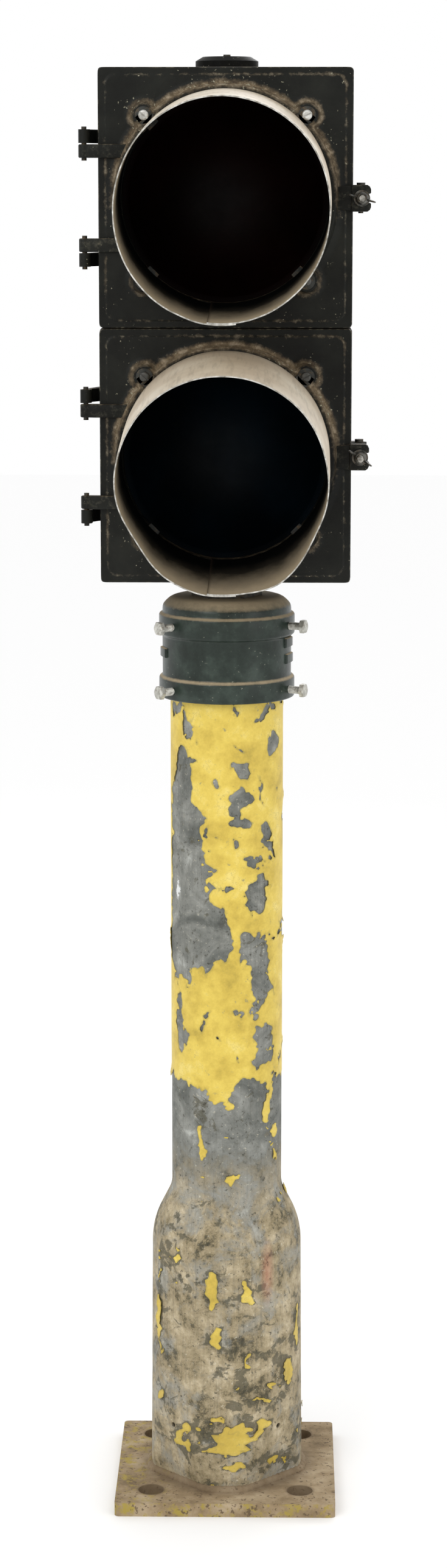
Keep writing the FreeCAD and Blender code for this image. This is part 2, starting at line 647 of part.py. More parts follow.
def visor(centre):
    """Full-circle sheet-metal tunnel, tilted down, lapped at the bottom, on four bent tabs."""
    tilt = math.radians(VISOR_TILT)
    root = 20.0
    inner_r = VISOR_R - VISOR_SHEET
    skin = rod(VISOR_R, V(0, 0, -root), Z_AXIS, VISOR_LENGTH + root)
    lap_angle = math.degrees(VISOR_LAP / VISOR_R)
    lap = Part.makeCylinder(VISOR_R + VISOR_SHEET, VISOR_LENGTH + root - 0.6, V(0, 0, -root), Z_AXIS,
                            lap_angle)
    lap.rotate(V(0, 0, 0), Z_AXIS, -90 - lap_angle / 2)
    hollow = rod(inner_r, V(0, 0, -root - 1), Z_AXIS, VISOR_LENGTH + root + 2)
    aim = FreeCAD.Placement(V(0, RING_FACE, centre + VISOR_RISE),
                            FreeCAD.Rotation(X_AXIS, 90 + math.degrees(tilt)))
    skin = skin.fuse(lap)
    for shape in (skin, hollow):
        shape.Placement = aim
    reach = 2 * VISOR_R
    behind = box(-reach, reach, RING_FACE, RING_FACE + 2 * root, centre - reach, centre + reach)
    body = skin.cut(behind)
    for sx, sz in CORNERS:
        tab = rod(TAB_R, V(sx * EAR_XZ, RING_FACE - VISOR_SHEET, centre + sz * EAR_XZ), Y_AXIS,
                  VISOR_SHEET)
        strap = box(VISOR_R - 6, EAR_XZ * math.sqrt(2), RING_FACE - VISOR_SHEET, RING_FACE,
                    -TAB_R, TAB_R)
        strap.rotate(V(0, 0, 0), FRONT, math.degrees(math.atan2(sz, sx)))
        strap.translate(V(0, 0, centre))
        body = body.fuse(tab.fuse(strap))
    body = body.cut(hollow)
    for sx, sz in CORNERS:
        start = V(sx * EAR_XZ, RING_FACE - 5, centre + sz * EAR_XZ)
        body = body.cut(rod(VISOR_SCREW_D / 2 + 0.3, start, Y_AXIS, 8))
    return body.removeSplitter()


def visor_screws(centre):
    """Four slotted round-head screws through the visor's tabs into the door's ears."""
    seat = RING_FACE - VISOR_SHEET
    screws = []
    for index, (sx, sz) in enumerate(CORNERS):
        x, z = sx * EAR_XZ, centre + sz * EAR_XZ
        head = rod(VISOR_SCREW_HEAD_D / 2, V(x, seat, z), FRONT, VISOR_SCREW_HEAD)
        crown = [e for e in head.Edges if len(e.Vertexes) == 1 and e.Vertexes[0].Y < seat - 1]
        head = head.makeFillet(VISOR_SCREW_HEAD * 0.7, crown)
        shank = rod(VISOR_SCREW_D / 2, V(x, seat, z), Y_AXIS, 12)
        slot = box(-8, 8, seat - VISOR_SCREW_HEAD - 1, seat - VISOR_SCREW_HEAD * 0.45, -0.7, 0.7)
        slot.rotate(V(0, 0, 0), Y_AXIS, 25 + 65 * index)
        slot.translate(V(x, 0, z))
        screws.append(head.cut(slot).fuse(shank))
    return group(screws)


# ---- latch -----------------------------------------------------------------------------
def latch_stud(centre):
    """Swing stud: an eye on the housing's pivot pin and a threaded shank to the front."""
    eye = rod(EYE_R, V(LATCH_AXIS_X, LATCH_PIVOT_Y, centre - EYE_THICK / 2), Z_AXIS, EYE_THICK)
    length = LATCH_PIVOT_Y - STUD_TIP_Y
    shank = rod(STUD_D / 2, V(LATCH_AXIS_X, LATCH_PIVOT_Y, centre), FRONT, length)
    tip = [e for e in shank.Edges if len(e.Vertexes) == 1 and e.Vertexes[0].Y < STUD_TIP_Y + 1]
    shank = shank.makeChamfer(0.8, tip)
    hole = rod(PIN_D / 2 + RUNNING, V(LATCH_AXIS_X, LATCH_PIVOT_Y, centre - 10), Z_AXIS, 20)
    return eye.fuse(shank).cut(hole)


def latch_pivot_pin(centre):
    """Headed pin through the housing's two latch ears."""
    half = EYE_THICK / 2 + KNUCKLE_GAP / 2 + LATCH_EAR
    shank = rod(PIN_D / 2, V(LATCH_AXIS_X, LATCH_PIVOT_Y, centre - half - 2.5), Z_AXIS, 2 * half + 2.5)
    head = rod(PIN_D * 0.85, V(LATCH_AXIS_X, LATCH_PIVOT_Y, centre + half), Z_AXIS, 2.8)
    return shank.fuse(head)


def wing_nut(centre, tilt):
    """Two-winged nut, its wings standing forward and outward from a tapered hub."""
    hub = Part.makeCone(7.2, 5.2, 8.0, V(0, NUT_BACK, 0), FRONT)
    half = WING_SPAN / 2
    outline = [(3, NUT_BACK - 0.5), (half - 3, NUT_BACK - 4.5), (half, NUT_BACK - 8.5),
               (half - 1.5, NUT_BACK - 12), (half - 5, NUT_BACK - 12.5), (3, NUT_BACK - 7)]
    thickness = 2.4
    nut = hub
    for side in (1, -1):
        wing = prism([(side * a, b) for a, b in outline], "z", -thickness / 2, thickness)
        nut = nut.fuse(wing)
    nut = nut.cut(rod(STUD_D / 2 + RUNNING, V(0, NUT_BACK + 1, 0), FRONT, 20))
    nut.rotate(V(0, 0, 0), Y_AXIS, tilt)
    nut.translate(V(LATCH_AXIS_X, 0, centre))
    return nut.removeSplitter()


def latch_washer(centre):
    """Plain washer between the wing nut and the fork."""
    return tube(WASHER_D / 2, STUD_D / 2 + 0.3, V(LATCH_AXIS_X, WASHER_BACK, centre), FRONT,
                WASHER_THICK)


# ---- lamp unit inside each housing -----------------------------------------------------
def reflector_frame(centre):
    """Square carrier plate on the housing's corner lugs, open where the reflector hangs."""
    side = 2 * FRAME_HALF
    plate = rounded_slab(side, side, 6.0, FRAME_Y, FRAME_Y + FRAME_THICK, centre)
    plate = plate.cut(rod(REFLECTOR_RIM_R + 2, V(0, FRAME_Y - 1, centre), Y_AXIS, 10))
    screws = []
    for sx, sz in CORNERS:
        x, z = sx * FRAME_SCREW_XZ, centre + sz * FRAME_SCREW_XZ
        plate = plate.cut(rod(2.3, V(x, FRAME_Y - 1, z), Y_AXIS, 10))
        head = rod(4.0, V(x, FRAME_Y, z), FRONT, 2.4)
        screws.append(head.fuse(rod(2.0, V(x, FRAME_Y, z), Y_AXIS, 11)))
    return plate, group(screws)


def reflector(centre):
    """Spun paraboloid with a rim flange in front and a flat seat for the lamp socket."""
    def dish(radius):
        return REFLECTOR_VERTEX_Y - radius ** 2 / (4 * FOCAL_LENGTH)
    steps = 6
    sheet = REFLECTOR_SHEET
    span = REFLECTOR_RIM_R - REFLECTOR_FLAT_R
    radii = [REFLECTOR_FLAT_R + span * i / steps for i in range(steps + 1)]
    front_curve = [(r, dish(r)) for r in radii]
    back_curve = [(r + sheet * 0.7, dish(r) + sheet * 0.7) for r in reversed(radii[:-1])]
    rim_back = (REFLECTOR_RIM_R + sheet * 0.7, FRAME_Y)
    seat_y = dish(REFLECTOR_FLAT_R)
    flange_r = REFLECTOR_RIM_R + 8
    profile = [
        (20, seat_y), front_curve[0], front_curve[1:],
        (REFLECTOR_RIM_R, FRAME_Y - sheet), (flange_r, FRAME_Y - sheet), (flange_r, FRAME_Y),
        rim_back, back_curve, (REFLECTOR_FLAT_R, seat_y + sheet), (20, seat_y + sheet)]
    return lathe_y(profile, centre), seat_y + sheet


def lamp_socket(centre, seat):
    """Moulded lamp holder with a flange on the reflector's seat."""
    back = seat + SOCKET_LENGTH
    return lathe_y([
        (LAMP_BASE_R + 2.5, seat), (27, seat), (27, seat + 3), (SOCKET_R, seat + 3), (SOCKET_R, back),
        (4, back), (4, back - 5), (LAMP_BASE_R + 0.3, back - 5), (LAMP_BASE_R + 0.3, seat + 5),
        (LAMP_BASE_R + 2.5, seat + 5)], centre)


def lamp(centre, seat):
    """Screw-base filament lamp with a round glass globe."""
    base_end = seat + SOCKET_LENGTH - 5.5
    neck_y = seat + 5
    globe = LAMP_GLOBE_R
    join = math.radians(40)
    join_r, join_y = globe * math.sin(join), LAMP_GLOBE_Y + globe * math.cos(join)
    return lathe_y([
        (0, LAMP_GLOBE_Y - globe), [(globe, LAMP_GLOBE_Y), (join_r, join_y)],
        [(LAMP_BASE_R + 1.2, (join_y + neck_y) / 2), (LAMP_BASE_R, neck_y)],
        (LAMP_BASE_R, base_end - 3), (6, base_end), (0, base_end)], centre)


def terminal_mounts(centre):
    """The two fixing screws of the terminal block on the lower housing's back wall."""
    z = centre - SECTION_H / 2 + 42
    return [(-44, z), (44, z)]


def terminal_block(centre):
    """Barrier strip for six pairs of wires, with its terminal and fixing screws."""
    back = HOUSING_BACK - CASTING_WALL
    z = terminal_mounts(centre)[0][1]
    block = box(-50, 50, back - 8, back, z - 13, z + 13)
    pitch = 12.5
    for index in range(7):
        x = (index - 3) * pitch
        block = block.fuse(box(x - 1, x + 1, back - 15, back - 7, z - 13, z + 13))
    screws = []
    for index in range(6):
        x = (index - 2.5) * pitch
        for dz in (-7, 7):
            hole = rod(1.7, V(x, back - 9, z + dz), Y_AXIS, 6)
            block = block.cut(hole)
            head = rod(3.6, V(x, back - 8, z + dz), FRONT, 2.2)
            screws.append(head.fuse(rod(1.6, V(x, back - 8, z + dz), Y_AXIS, 4.5)))
    for x, _ in terminal_mounts(centre):
        block = block.cut(rod(2.2, V(x, back - 9, z), Y_AXIS, 12))
        head = rod(3.8, V(x, back - 8, z), FRONT, 2.6)
        screws.append(head.fuse(rod(2.0, V(x, back - 8, z), Y_AXIS, 10)))
    return block, group(screws)


# ---- section coupling and closure cap --------------------------------------------------
def tie_points(z):
    """The three tie bolts between the sections, round the wire port."""
    return [V(TIE_CIRCLE_R * math.cos(math.radians(a)), TIE_CIRCLE_R * math.sin(math.radians(a)), z)
            for a in (90, 210, 330)]


def section_coupling():
    """Two stiffening washers and three bolts that clamp the sections together."""
    thick = 4.0
    low, high = JOINT_Z - CASTING_WALL - thick, JOINT_Z + CASTING_WALL
    washers = []
    for z in (low, high):
        ring = tube(TIE_WASHER_R, PORT_R, V(0, 0, z), Z_AXIS, thick)
        for point in tie_points(z - 1):
            ring = ring.cut(rod(TIE_BOLT_D / 2 + 0.3, point, Z_AXIS, thick + 2))
        washers.append(ring)
    parts["section_tie_washers"] = group(washers)
    head_z = high + thick
    nut_z = low - 5.5
    bolts, nuts = [], []
    for point in tie_points(head_z):
        shank = rod(TIE_BOLT_D / 2, point, -Z_AXIS, head_z - nut_z + 3)
        bolts.append(hexagon(11.1, point, Z_AXIS, 4.2).fuse(shank))
        seat = V(point.x, point.y, nut_z)
        nut = hexagon(11.1, seat, Z_AXIS, 5.5)
        bore = rod(TIE_BOLT_D / 2 + THREAD_FIT, V(point.x, point.y, nut_z - 1), Z_AXIS, 8)
        nuts.append(nut.cut(bore))
    parts["section_tie_bolts"] = group(bolts)
    parts["section_tie_nuts"] = group(nuts)


def closure():
    """Round cover over the unused top port, on a gasket, drawn down to a bar inside."""
    cap_z = HEAD_TOP + CAP_GASKET
    top = cap_z + CAP_HEIGHT
    drill_r = CAP_SCREW_D / 2
    chamfer = CAP_R - CAP_TOP_R
    cap = lathe_z([(drill_r + 0.2, cap_z), (CAP_R, cap_z), (CAP_R, top - chamfer * 0.6),
                   (CAP_TOP_R, top), (drill_r + 0.2, top)])
    parts["closure_cap"] = cap
    parts["closure_gasket"] = tube(CAP_R - 0.6, PORT_R - 3, V(0, 0, HEAD_TOP), Z_AXIS, CAP_GASKET)
    bar_z = HEAD_TOP - CASTING_WALL - 5
    bar = box(-36, 36, -8, 8, bar_z, bar_z + 5)
    parts["closure_bar"] = bar.cut(rod(drill_r + THREAD_FIT, V(0, 0, bar_z - 1), Z_AXIS, 8))
    head = rod(CAP_SCREW_HEAD_D / 2, V(0, 0, top), Z_AXIS, CAP_SCREW_HEAD)
    slot = box(-6, 6, -0.6, 0.6, top + CAP_SCREW_HEAD * 0.5, top + CAP_SCREW_HEAD + 1)
    shank = rod(drill_r, V(0, 0, bar_z - 6), Z_AXIS, top - bar_z + 6)
    parts["closure_screw"] = head.cut(slot).fuse(shank)


# ---- assembly --------------------------------------------------------------------------
parts["base_plate"] = base_plate()
parts["post_shaft"] = post_shaft()
parts["foot_weld"] = foot_weld()
parts["slip_collar"] = collar()
for tier, tier_z in SCREW_TIERS.items():
    parts[tier + "_set_screws"] = set_screws(tier_z)
neck()
section_coupling()
closure()
for name, centre in CENTRES.items():
    parts[name + "_housing"] = housing(name, centre)
    parts[name + "_hinge_pins"] = hinge_pins(centre)
    parts[name + "_door_gasket"] = door_gasket(centre)
    parts[name + "_door"] = door(centre)
    parts[name + "_lens"] = lens(centre)
    parts[name + "_lens_seal"] = lens_seal(centre)
    parts[name + "_lens_clips"], parts[name + "_lens_clip_screws"] = lens_clips(centre)
    parts[name + "_visor"] = visor(centre)
    parts[name + "_visor_screws"] = visor_screws(centre)
    parts[name + "_latch_pivot_pin"] = latch_pivot_pin(centre)
    parts[name + "_latch_stud"] = latch_stud(centre)
    parts[name + "_latch_washer"] = latch_washer(centre)
    parts[name + "_wing_nut"] = wing_nut(centre, WING_TILTS[name])
    parts[name + "_reflector_frame"], parts[name + "_reflector_screws"] = reflector_frame(centre)
    parts[name + "_reflector"], socket_seat = reflector(centre)
    parts[name + "_lamp_socket"] = lamp_socket(centre, socket_seat)
    parts[name + "_lamp"] = lamp(centre, socket_seat)
parts["terminal_block"], parts["terminal_screws"] = terminal_block(CENTRES["lower"])

os.makedirs("parts", exist_ok=True)
for name, shape in parts.items():
    if not shape.isValid():
        print("not valid:", name)
    shape.exportStep("parts/" + name + ".step")
print(len(parts), "parts")
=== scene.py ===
import math

import bpy
import numpy as np
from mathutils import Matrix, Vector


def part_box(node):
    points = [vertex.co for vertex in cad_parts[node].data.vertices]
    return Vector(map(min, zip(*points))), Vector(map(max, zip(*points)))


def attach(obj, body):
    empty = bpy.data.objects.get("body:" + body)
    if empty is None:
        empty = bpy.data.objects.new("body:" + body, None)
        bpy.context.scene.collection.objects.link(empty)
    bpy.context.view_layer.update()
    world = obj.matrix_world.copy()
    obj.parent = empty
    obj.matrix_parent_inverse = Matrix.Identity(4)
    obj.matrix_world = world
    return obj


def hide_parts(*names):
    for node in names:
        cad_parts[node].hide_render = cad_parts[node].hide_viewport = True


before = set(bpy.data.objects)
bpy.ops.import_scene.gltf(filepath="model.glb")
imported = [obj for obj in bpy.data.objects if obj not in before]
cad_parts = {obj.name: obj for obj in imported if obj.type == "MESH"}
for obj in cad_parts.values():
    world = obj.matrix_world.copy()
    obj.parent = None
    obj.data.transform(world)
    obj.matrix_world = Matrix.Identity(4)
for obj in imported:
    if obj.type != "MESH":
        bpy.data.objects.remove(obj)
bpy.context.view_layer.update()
MM = 0.001

# ---- the studio ------------------------------------------------------------------------
# A pale floor that runs off to a pale surround, one broad soft light from the upper left
# front, a weaker one from the right, and a camera a little above the head's middle, which
# stands one degree round to the right of the way the signal faces.
CAMERA_DISTANCE = 3284.1
CAMERA_HEIGHT = 1358.2
CAMERA_ASIDE = -3.4
CAMERA_TURN = 1.05
CAMERA_PITCH = 10.5
CAMERA_LENS = 74.73


def studio_camera():
    """A 36 mm sensor on the long side, turned about the post and looking down by the pitch."""
    data = bpy.data.cameras.new("camera")
    data.sensor_width = 36.0
    data.lens = CAMERA_LENS
    camera = bpy.data.objects.new("camera", data)
    turn = math.radians(CAMERA_TURN)
    x = CAMERA_DISTANCE * math.sin(turn) + CAMERA_ASIDE * math.cos(turn)
    y = -CAMERA_DISTANCE * math.cos(turn) + CAMERA_ASIDE * math.sin(turn)
    camera.location = (x * MM, y * MM, CAMERA_HEIGHT * MM)
    camera.rotation_euler = (math.radians(90 - CAMERA_PITCH), 0, turn)
    bpy.context.collection.objects.link(camera)
    bpy.context.scene.camera = camera


def area_light(name, place, aim, size, power):
    """A square soft box at a place, turned to face a point."""
    data = bpy.data.lights.new(name, "AREA")
    data.size = size
    data.energy = power
    lamp = bpy.data.objects.new(name, data)
    lamp.location = place
    direction = np.subtract(aim, place)
    flat = math.hypot(direction[0], direction[1])
    lamp.rotation_euler = (math.atan2(flat, -direction[2]), 0,
                           math.atan2(direction[1], direction[0]) - math.pi / 2)
    bpy.context.collection.objects.link(lamp)


def linear(hex_code):
    """An sRGB hex colour as linear red, green, blue and a full alpha."""
    channels = [int(hex_code[i:i + 2], 16) / 255 for i in (1, 3, 5)]
    return tuple(c / 12.92 if c <= 0.04045 else ((c + 0.055) / 1.055) ** 2.4
                 for c in channels) + (1,)


def wire(node, settings):
    """Sets up one shader node. A setting goes to the input of that name or number, or else
    to the node's own property. A colour is a hex code, stops are a ramp's (place, hex) pairs
    and range is a Map Range's from and to numbers in order. Another node, or one of its
    outputs, is linked to the input: of a whole node the first output is taken."""
    for key, value in settings.items():
        if isinstance(value, bpy.types.Node):
            value = value.outputs[0]
        if isinstance(value, str) and value.startswith("#"):
            value = linear(value)
        if isinstance(value, bpy.types.NodeSocket):
            node.id_data.links.new(value, node.inputs[key])
        elif key == "stops":
            ramp = node.color_ramp.elements
            while len(ramp) < len(value):
                ramp.new(1.0)
            for stop, (place, colour) in zip(ramp, value):
                stop.position = place
                stop.color = linear(colour)
        elif key == "range":
            for number, limit in enumerate(value, start=1):
                node.inputs[number].default_value = limit
        elif isinstance(key, int) or key in node.inputs:
            node.inputs[key].default_value = value
        else:
            setattr(node, key, value)
    return node


def studio_floor():
    """One large flat sheet, wide enough to fill every view."""
    reach = 12.0
    mesh = bpy.data.meshes.new("floor")
    corners = [(-reach, -reach, 0), (reach, -reach, 0), (reach, reach, 0), (-reach, reach, 0)]
    mesh.from_pydata(corners, [], [(0, 1, 2, 3)])
    floor = bpy.data.objects.new("floor", mesh)
    bpy.context.collection.objects.link(floor)
    paper = bpy.data.materials.new("floor_paper")
    paper.use_nodes = True
    shader = paper.node_tree.nodes["Principled BSDF"]
    wire(shader, {"Base Color": "#fcfcfc", "Roughness": 0.9})
    mesh.materials.append(paper)


def studio_surround():
    """An even, nearly white sky, and colours shown as they are."""
    world = bpy.data.worlds.new("surround")
    world.use_nodes = True
    wire(world.node_tree.nodes["Background"], {"Color": "#ffffff", "Strength": 1.0})
    bpy.context.scene.world = world
    bpy.context.scene.view_settings.view_transform = "Standard"


studio_camera()
area_light("key", (-1.7, -2.8, 2.7), (0, 0, 0.9), size=1.6, power=31)
area_light("fill", (2.6, -2.2, 1.3), (0, 0, 0.8), size=1.4, power=9)
area_light("rim", (0.6, 2.4, 2.4), (0, 0, 1.0), size=1.2, power=12)
studio_floor()
studio_surround()


# ---- anchor plate ----------------------------------------------------------------------
# Flame-cut mild steel plate, once painted yellow, now under trodden-in sandy dirt. The
# plate keeps the CAD shape; the dirt gives it a dry, blotched brown with paler rubbed spots.
ANCHOR = 77.5


def add(tree, kind, settings=None):
    """Adds one shader node, with its settings and links given as to wire."""
    return wire(tree.nodes.new("ShaderNode" + kind), settings or {})


def new_finish(name, roughness, metallic=0.0):
    """An empty material with one Principled shader; also gives its tree, its shader and the
    object coordinates that its patterns read, in metres."""
    material = bpy.data.materials.new(name)
    material.use_nodes = True
    tree = material.node_tree
    shader = tree.nodes["Principled BSDF"]
    wire(shader, {"Roughness": roughness, "Metallic": metallic})
    return material, tree, shader, add(tree, "TexCoord").outputs["Object"]


def dress(material, *nodes):
    """Gives CAD nodes their finish."""
    for node in nodes:
        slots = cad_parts[node].data.materials
        slots.clear()
        slots.append(material)


def plate_dirt():
    """Sandy dirt over old steel: 35 mm blotches, 4 mm dark specks, yellow in 14 mm flakes that
    come in from x = -45 to -100 mm and on the front edge, painted shade in the anchor holes,
    darker soil packed round the post, and 1.8 mm grit in the bump."""
    material, tree, shader, place = new_finish("dirty_hot_rolled_plate", 0.88)
    blotch = add(tree, "TexNoise", {"Scale": 1000 / 35, "Detail": 6.0, "Roughness": 0.65,
                                    "Vector": place})
    base = add(tree, "ValToRGB", {"stops": [(0.3, "#6d5b40"), (0.48, "#927e60"), (0.7, "#b3a184")],
                                  "Fac": blotch})
    axes = add(tree, "SeparateXYZ", {"Vector": place})
    left = add(tree, "MapRange", {"range": (-0.045, -0.1), "Value": axes.outputs["X"]})
    edge = add(tree, "MapRange", {"range": (-0.1125, -0.1138), "Value": axes.outputs["Y"]})
    where = add(tree, "Math", {"operation": "MAXIMUM", 0: left, 1: edge})
    flakes = add(tree, "TexNoise", {"Scale": 1000 / 14, "Detail": 5.0, "Roughness": 0.7,
                                    "Vector": place})
    cut = add(tree, "MapRange", {"range": (0.5, 0.62), "Value": flakes})
    yellow = add(tree, "Math", {"operation": "MULTIPLY", 0: cut, 1: where})
    stained = add(tree, "MixRGB", {"Color2": "#a08d42", "Fac": yellow, "Color1": base})
    specks = add(tree, "TexNoise", {"Scale": 1000 / 4, "Detail": 3.0, "Vector": place})
    dots = add(tree, "MapRange", {"range": (0.6, 0.66, 0, 0.85), "Value": specks})
    quarter = add(tree, "VectorMath", {"operation": "ABSOLUTE", 0: place})
    flat = add(tree, "VectorMath", {"operation": "MULTIPLY", 1: (1, 1, 0),
                                    0: quarter.outputs["Vector"]})
    away = add(tree, "VectorMath", {"operation": "DISTANCE", 1: (ANCHOR * MM, ANCHOR * MM, 0),
                                    0: flat.outputs["Vector"]})
    # Painted shade: the walls and rims of the anchor holes are darkened to stand for the shade
    # inside them.
    anchor_hole_painted_shade = add(tree, "MapRange", {"range": (0.0165, 0.0134, 0, 0.6),
                                  "Value": away.outputs["Value"]})
    foot = add(tree, "VectorMath", {"operation": "LENGTH", 0: flat.outputs["Vector"]})
    packed = add(tree, "MapRange", {"range": (0.098, 0.08, 0, 0.55),
                                    "Value": foot.outputs["Value"]})
    painted_hole_shade_and_packed_soil = add(tree, "Math", {"operation": "MAXIMUM", 0: anchor_hole_painted_shade, 1: packed})
    deepest = add(tree, "Math", {"operation": "MAXIMUM", 0: painted_hole_shade_and_packed_soil, 1: dots})
    speckled = add(tree, "MixRGB", {"Color2": "#5b4a37", "Fac": deepest, "Color1": stained})
    grit = add(tree, "TexNoise", {"Scale": 1000 / 1.8, "Detail": 4.0, "Vector": place})
    bump = add(tree, "Bump", {"Strength": 0.35, "Distance": 0.0006, "Height": grit})
    wire(shader, {"Base Color": speckled, "Normal": bump})
    return material


PLATE_FINISH = plate_dirt()
dress(PLATE_FINISH, "base_plate")

# ---- post ------------------------------------------------------------------------------
# One steel tube, swaged up into a bell at its foot, with four flats pressed into the bell
# over the anchor holes and a small vent hole in each. Galvanised, primed grey, and dirty
# and scuffed below the shoulder.
POST_R = 57.15
BELL_R = 77.9
FOOT_R = 79.75
FOOT_Z = 14.3
BELL_Z = 263.0
SHOULDER_ANGLE = math.radians(27.0)
SHOULDER_RADII = (85.0, 30.0)
SHOULDER_END = 340.0
POST_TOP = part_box("post_shaft")[1][2] / MM
POST_BORE = POST_R - 6.0
FLAT_APEX = 92.0
FLAT_DEPTH = 10.0
VENT_Z = 77.0
VENT_R = 2.2
VENT_DEPTH = 4.0


def smooth_step(low, high, value):
    """0 below low, 1 above high, and the cubic 3t² - 2t³ between."""
    t = np.clip((value - low) / (high - low), 0, 1)
    return t * t * (3 - 2 * t)


def noise(around, along, cells, size, seed):
    """Smooth random heights from -1 to 1: a lattice of random numbers, cells of them once
    round and one for each size along, blended by the cubic 3t² - 2t³. around is in turns."""
    rows = 4 + int(np.max(along) / size) + 1
    lattice = np.random.RandomState(seed).uniform(-1, 1, (rows, cells))
    u, v = (around % 1.0) * cells, np.maximum(along, 0) / size
    i, j = np.floor(v).astype(int), np.floor(u).astype(int)
    a, b = smooth_step(0, 1, v - i), smooth_step(0, 1, u - j)
    j, k = j % cells, (j + 1) % cells
    low = lattice[i, j] * (1 - b) + lattice[i, k] * b
    high = lattice[i + 1, j] * (1 - b) + lattice[i + 1, k] * b
    return low * (1 - a) + high * a


def fractal(around, along, girth, size, seed, octaves=4, fade=0.55):
    """Noise at a size plus finer layers, each half as large and fade times as strong."""
    total = 0
    for octave in range(octaves):
        step = size / 2 ** octave
        layer = noise(around, along, round(girth / step), step, seed + octave)
        total = total + fade ** octave * layer
    return total


def shoulder_radius(z):
    """Outer radius at a height: slightly tapered bell, convex arc, straight, concave arc and
    plain tube, each meeting the next at the same slope."""
    convex, concave = SHOULDER_RADII
    sine, drop = math.sin(SHOULDER_ANGLE), 1 - math.cos(SHOULDER_ANGLE)
    straight = BELL_R - POST_R - (convex + concave) * drop
    z1 = BELL_Z + convex * sine
    z2 = z1 + straight / math.tan(SHOULDER_ANGLE)
    z3 = z2 + concave * sine
    bell = FOOT_R + (BELL_R - FOOT_R) * (z - FOOT_Z) / (BELL_Z - FOOT_Z)
    above_bell, below_tube = np.clip(z - BELL_Z, 0, convex), np.clip(z3 - z, 0, concave)
    upper = BELL_R - convex + np.sqrt(np.maximum(convex ** 2 - above_bell ** 2, 0))
    middle = BELL_R - convex * drop - (z - z1) * math.tan(SHOULDER_ANGLE)
    lower = POST_R + concave - np.sqrt(np.maximum(concave ** 2 - below_tube ** 2, 0))
    return np.select([z < BELL_Z, z < z1, z < z2, z < z3], [bell, upper, middle, lower], POST_R)


def post_radius(turn, z):
    """The shoulder's radius, cut by the flat's leaning plane near each corner with a soft
    edge of about 1.5 mm, plus shallow dents of a few tenths of a millimetre."""
    angle = 2 * math.pi * turn
    from_corner = np.mod(angle, math.pi / 2) - math.pi / 4
    lean = np.clip((z - FOOT_Z) / (FLAT_APEX - FOOT_Z), 0, 4)
    plane = (FOOT_R - FLAT_DEPTH * (1 - lean)) / np.cos(from_corner)
    radius = shoulder_radius(z)
    soft = 0.8
    radius = -soft * np.log(np.exp(-(radius - 60) / soft) + np.exp(-(plane - 60) / soft)) + 60
    radius = radius + 0.22 * noise(turn, z, 9, 55.0, 3) + 0.1 * noise(turn, z, 24, 18.0, 4)
    across = np.hypot(FOOT_R * from_corner, z - VENT_Z)
    vent = VENT_DEPTH * smooth_step(VENT_R + 0.35, VENT_R - 0.35, across)
    return np.minimum(radius, shoulder_radius(z)) - vent


def ring_faces(rows, columns, close_rows=False):
    """Quads between neighbouring rings of points, all of one size. Points run round each
    ring, and the last ring is joined to the first where the rows close."""
    row = np.arange(rows if close_rows else rows - 1)[:, None]
    column = np.arange(columns)[None, :]
    after, beside = (row + 1) % rows, (column + 1) % columns
    quads = np.stack([row * columns + column, row * columns + beside,
                      after * columns + beside, after * columns + column], axis=-1)
    return quads.reshape(-1, 4)


def build(name, parts, materials, body, replaces, bands=None, marks=None):
    """A part's faces are an array of polygons, or a list of such arrays. bands gives each
    face's material number, and marks each point's value of a named attribute."""
    points, faces, start = [], [], 0
    for part_points, part_faces in parts:
        part_points = np.asarray(part_points, float).reshape(-1, 3)
        points.append(part_points)
        for polygons in part_faces if isinstance(part_faces, list) else [part_faces]:
            faces += (polygons + start).tolist()
        start += len(part_points)
    mesh = bpy.data.meshes.new(name)
    mesh.from_pydata((np.concatenate(points) * MM).tolist(), [], faces)
    mesh.shade_smooth()
    mesh.set_sharp_from_angle(angle=math.radians(38))
    for material in materials:
        mesh.materials.append(material)
    if bands is not None:
        mesh.polygons.foreach_set("material_index", np.asarray(bands, np.int32))
    for mark, values in (marks or {}).items():
        layer = mesh.attributes.new(mark, "FLOAT", "POINT")
        layer.data.foreach_set("value", np.asarray(values, np.float32).ravel())
    piece = bpy.data.objects.new(name, mesh)
    bpy.context.collection.objects.link(piece)
    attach(piece, body)
    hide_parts(*replaces)
    return piece


def lathe(profile, columns, radius_change=None):
    """Closed (radius, height) profile carried round the Z axis. radius_change takes turn and
    height and is added to the radius."""
    profile = np.asarray(profile, float)
    turn = np.arange(columns)[None, :] / columns
    radius, height = profile[:, :1] + 0 * turn, profile[:, 1:] + 0 * turn
    if radius_change is not None:
        radius = radius + radius_change(turn + 0 * radius, height)
    angle = 2 * math.pi * turn
    points = np.stack([radius * np.cos(angle), radius * np.sin(angle), height], axis=-1)
    return points, ring_faces(len(profile), columns, close_rows=True)


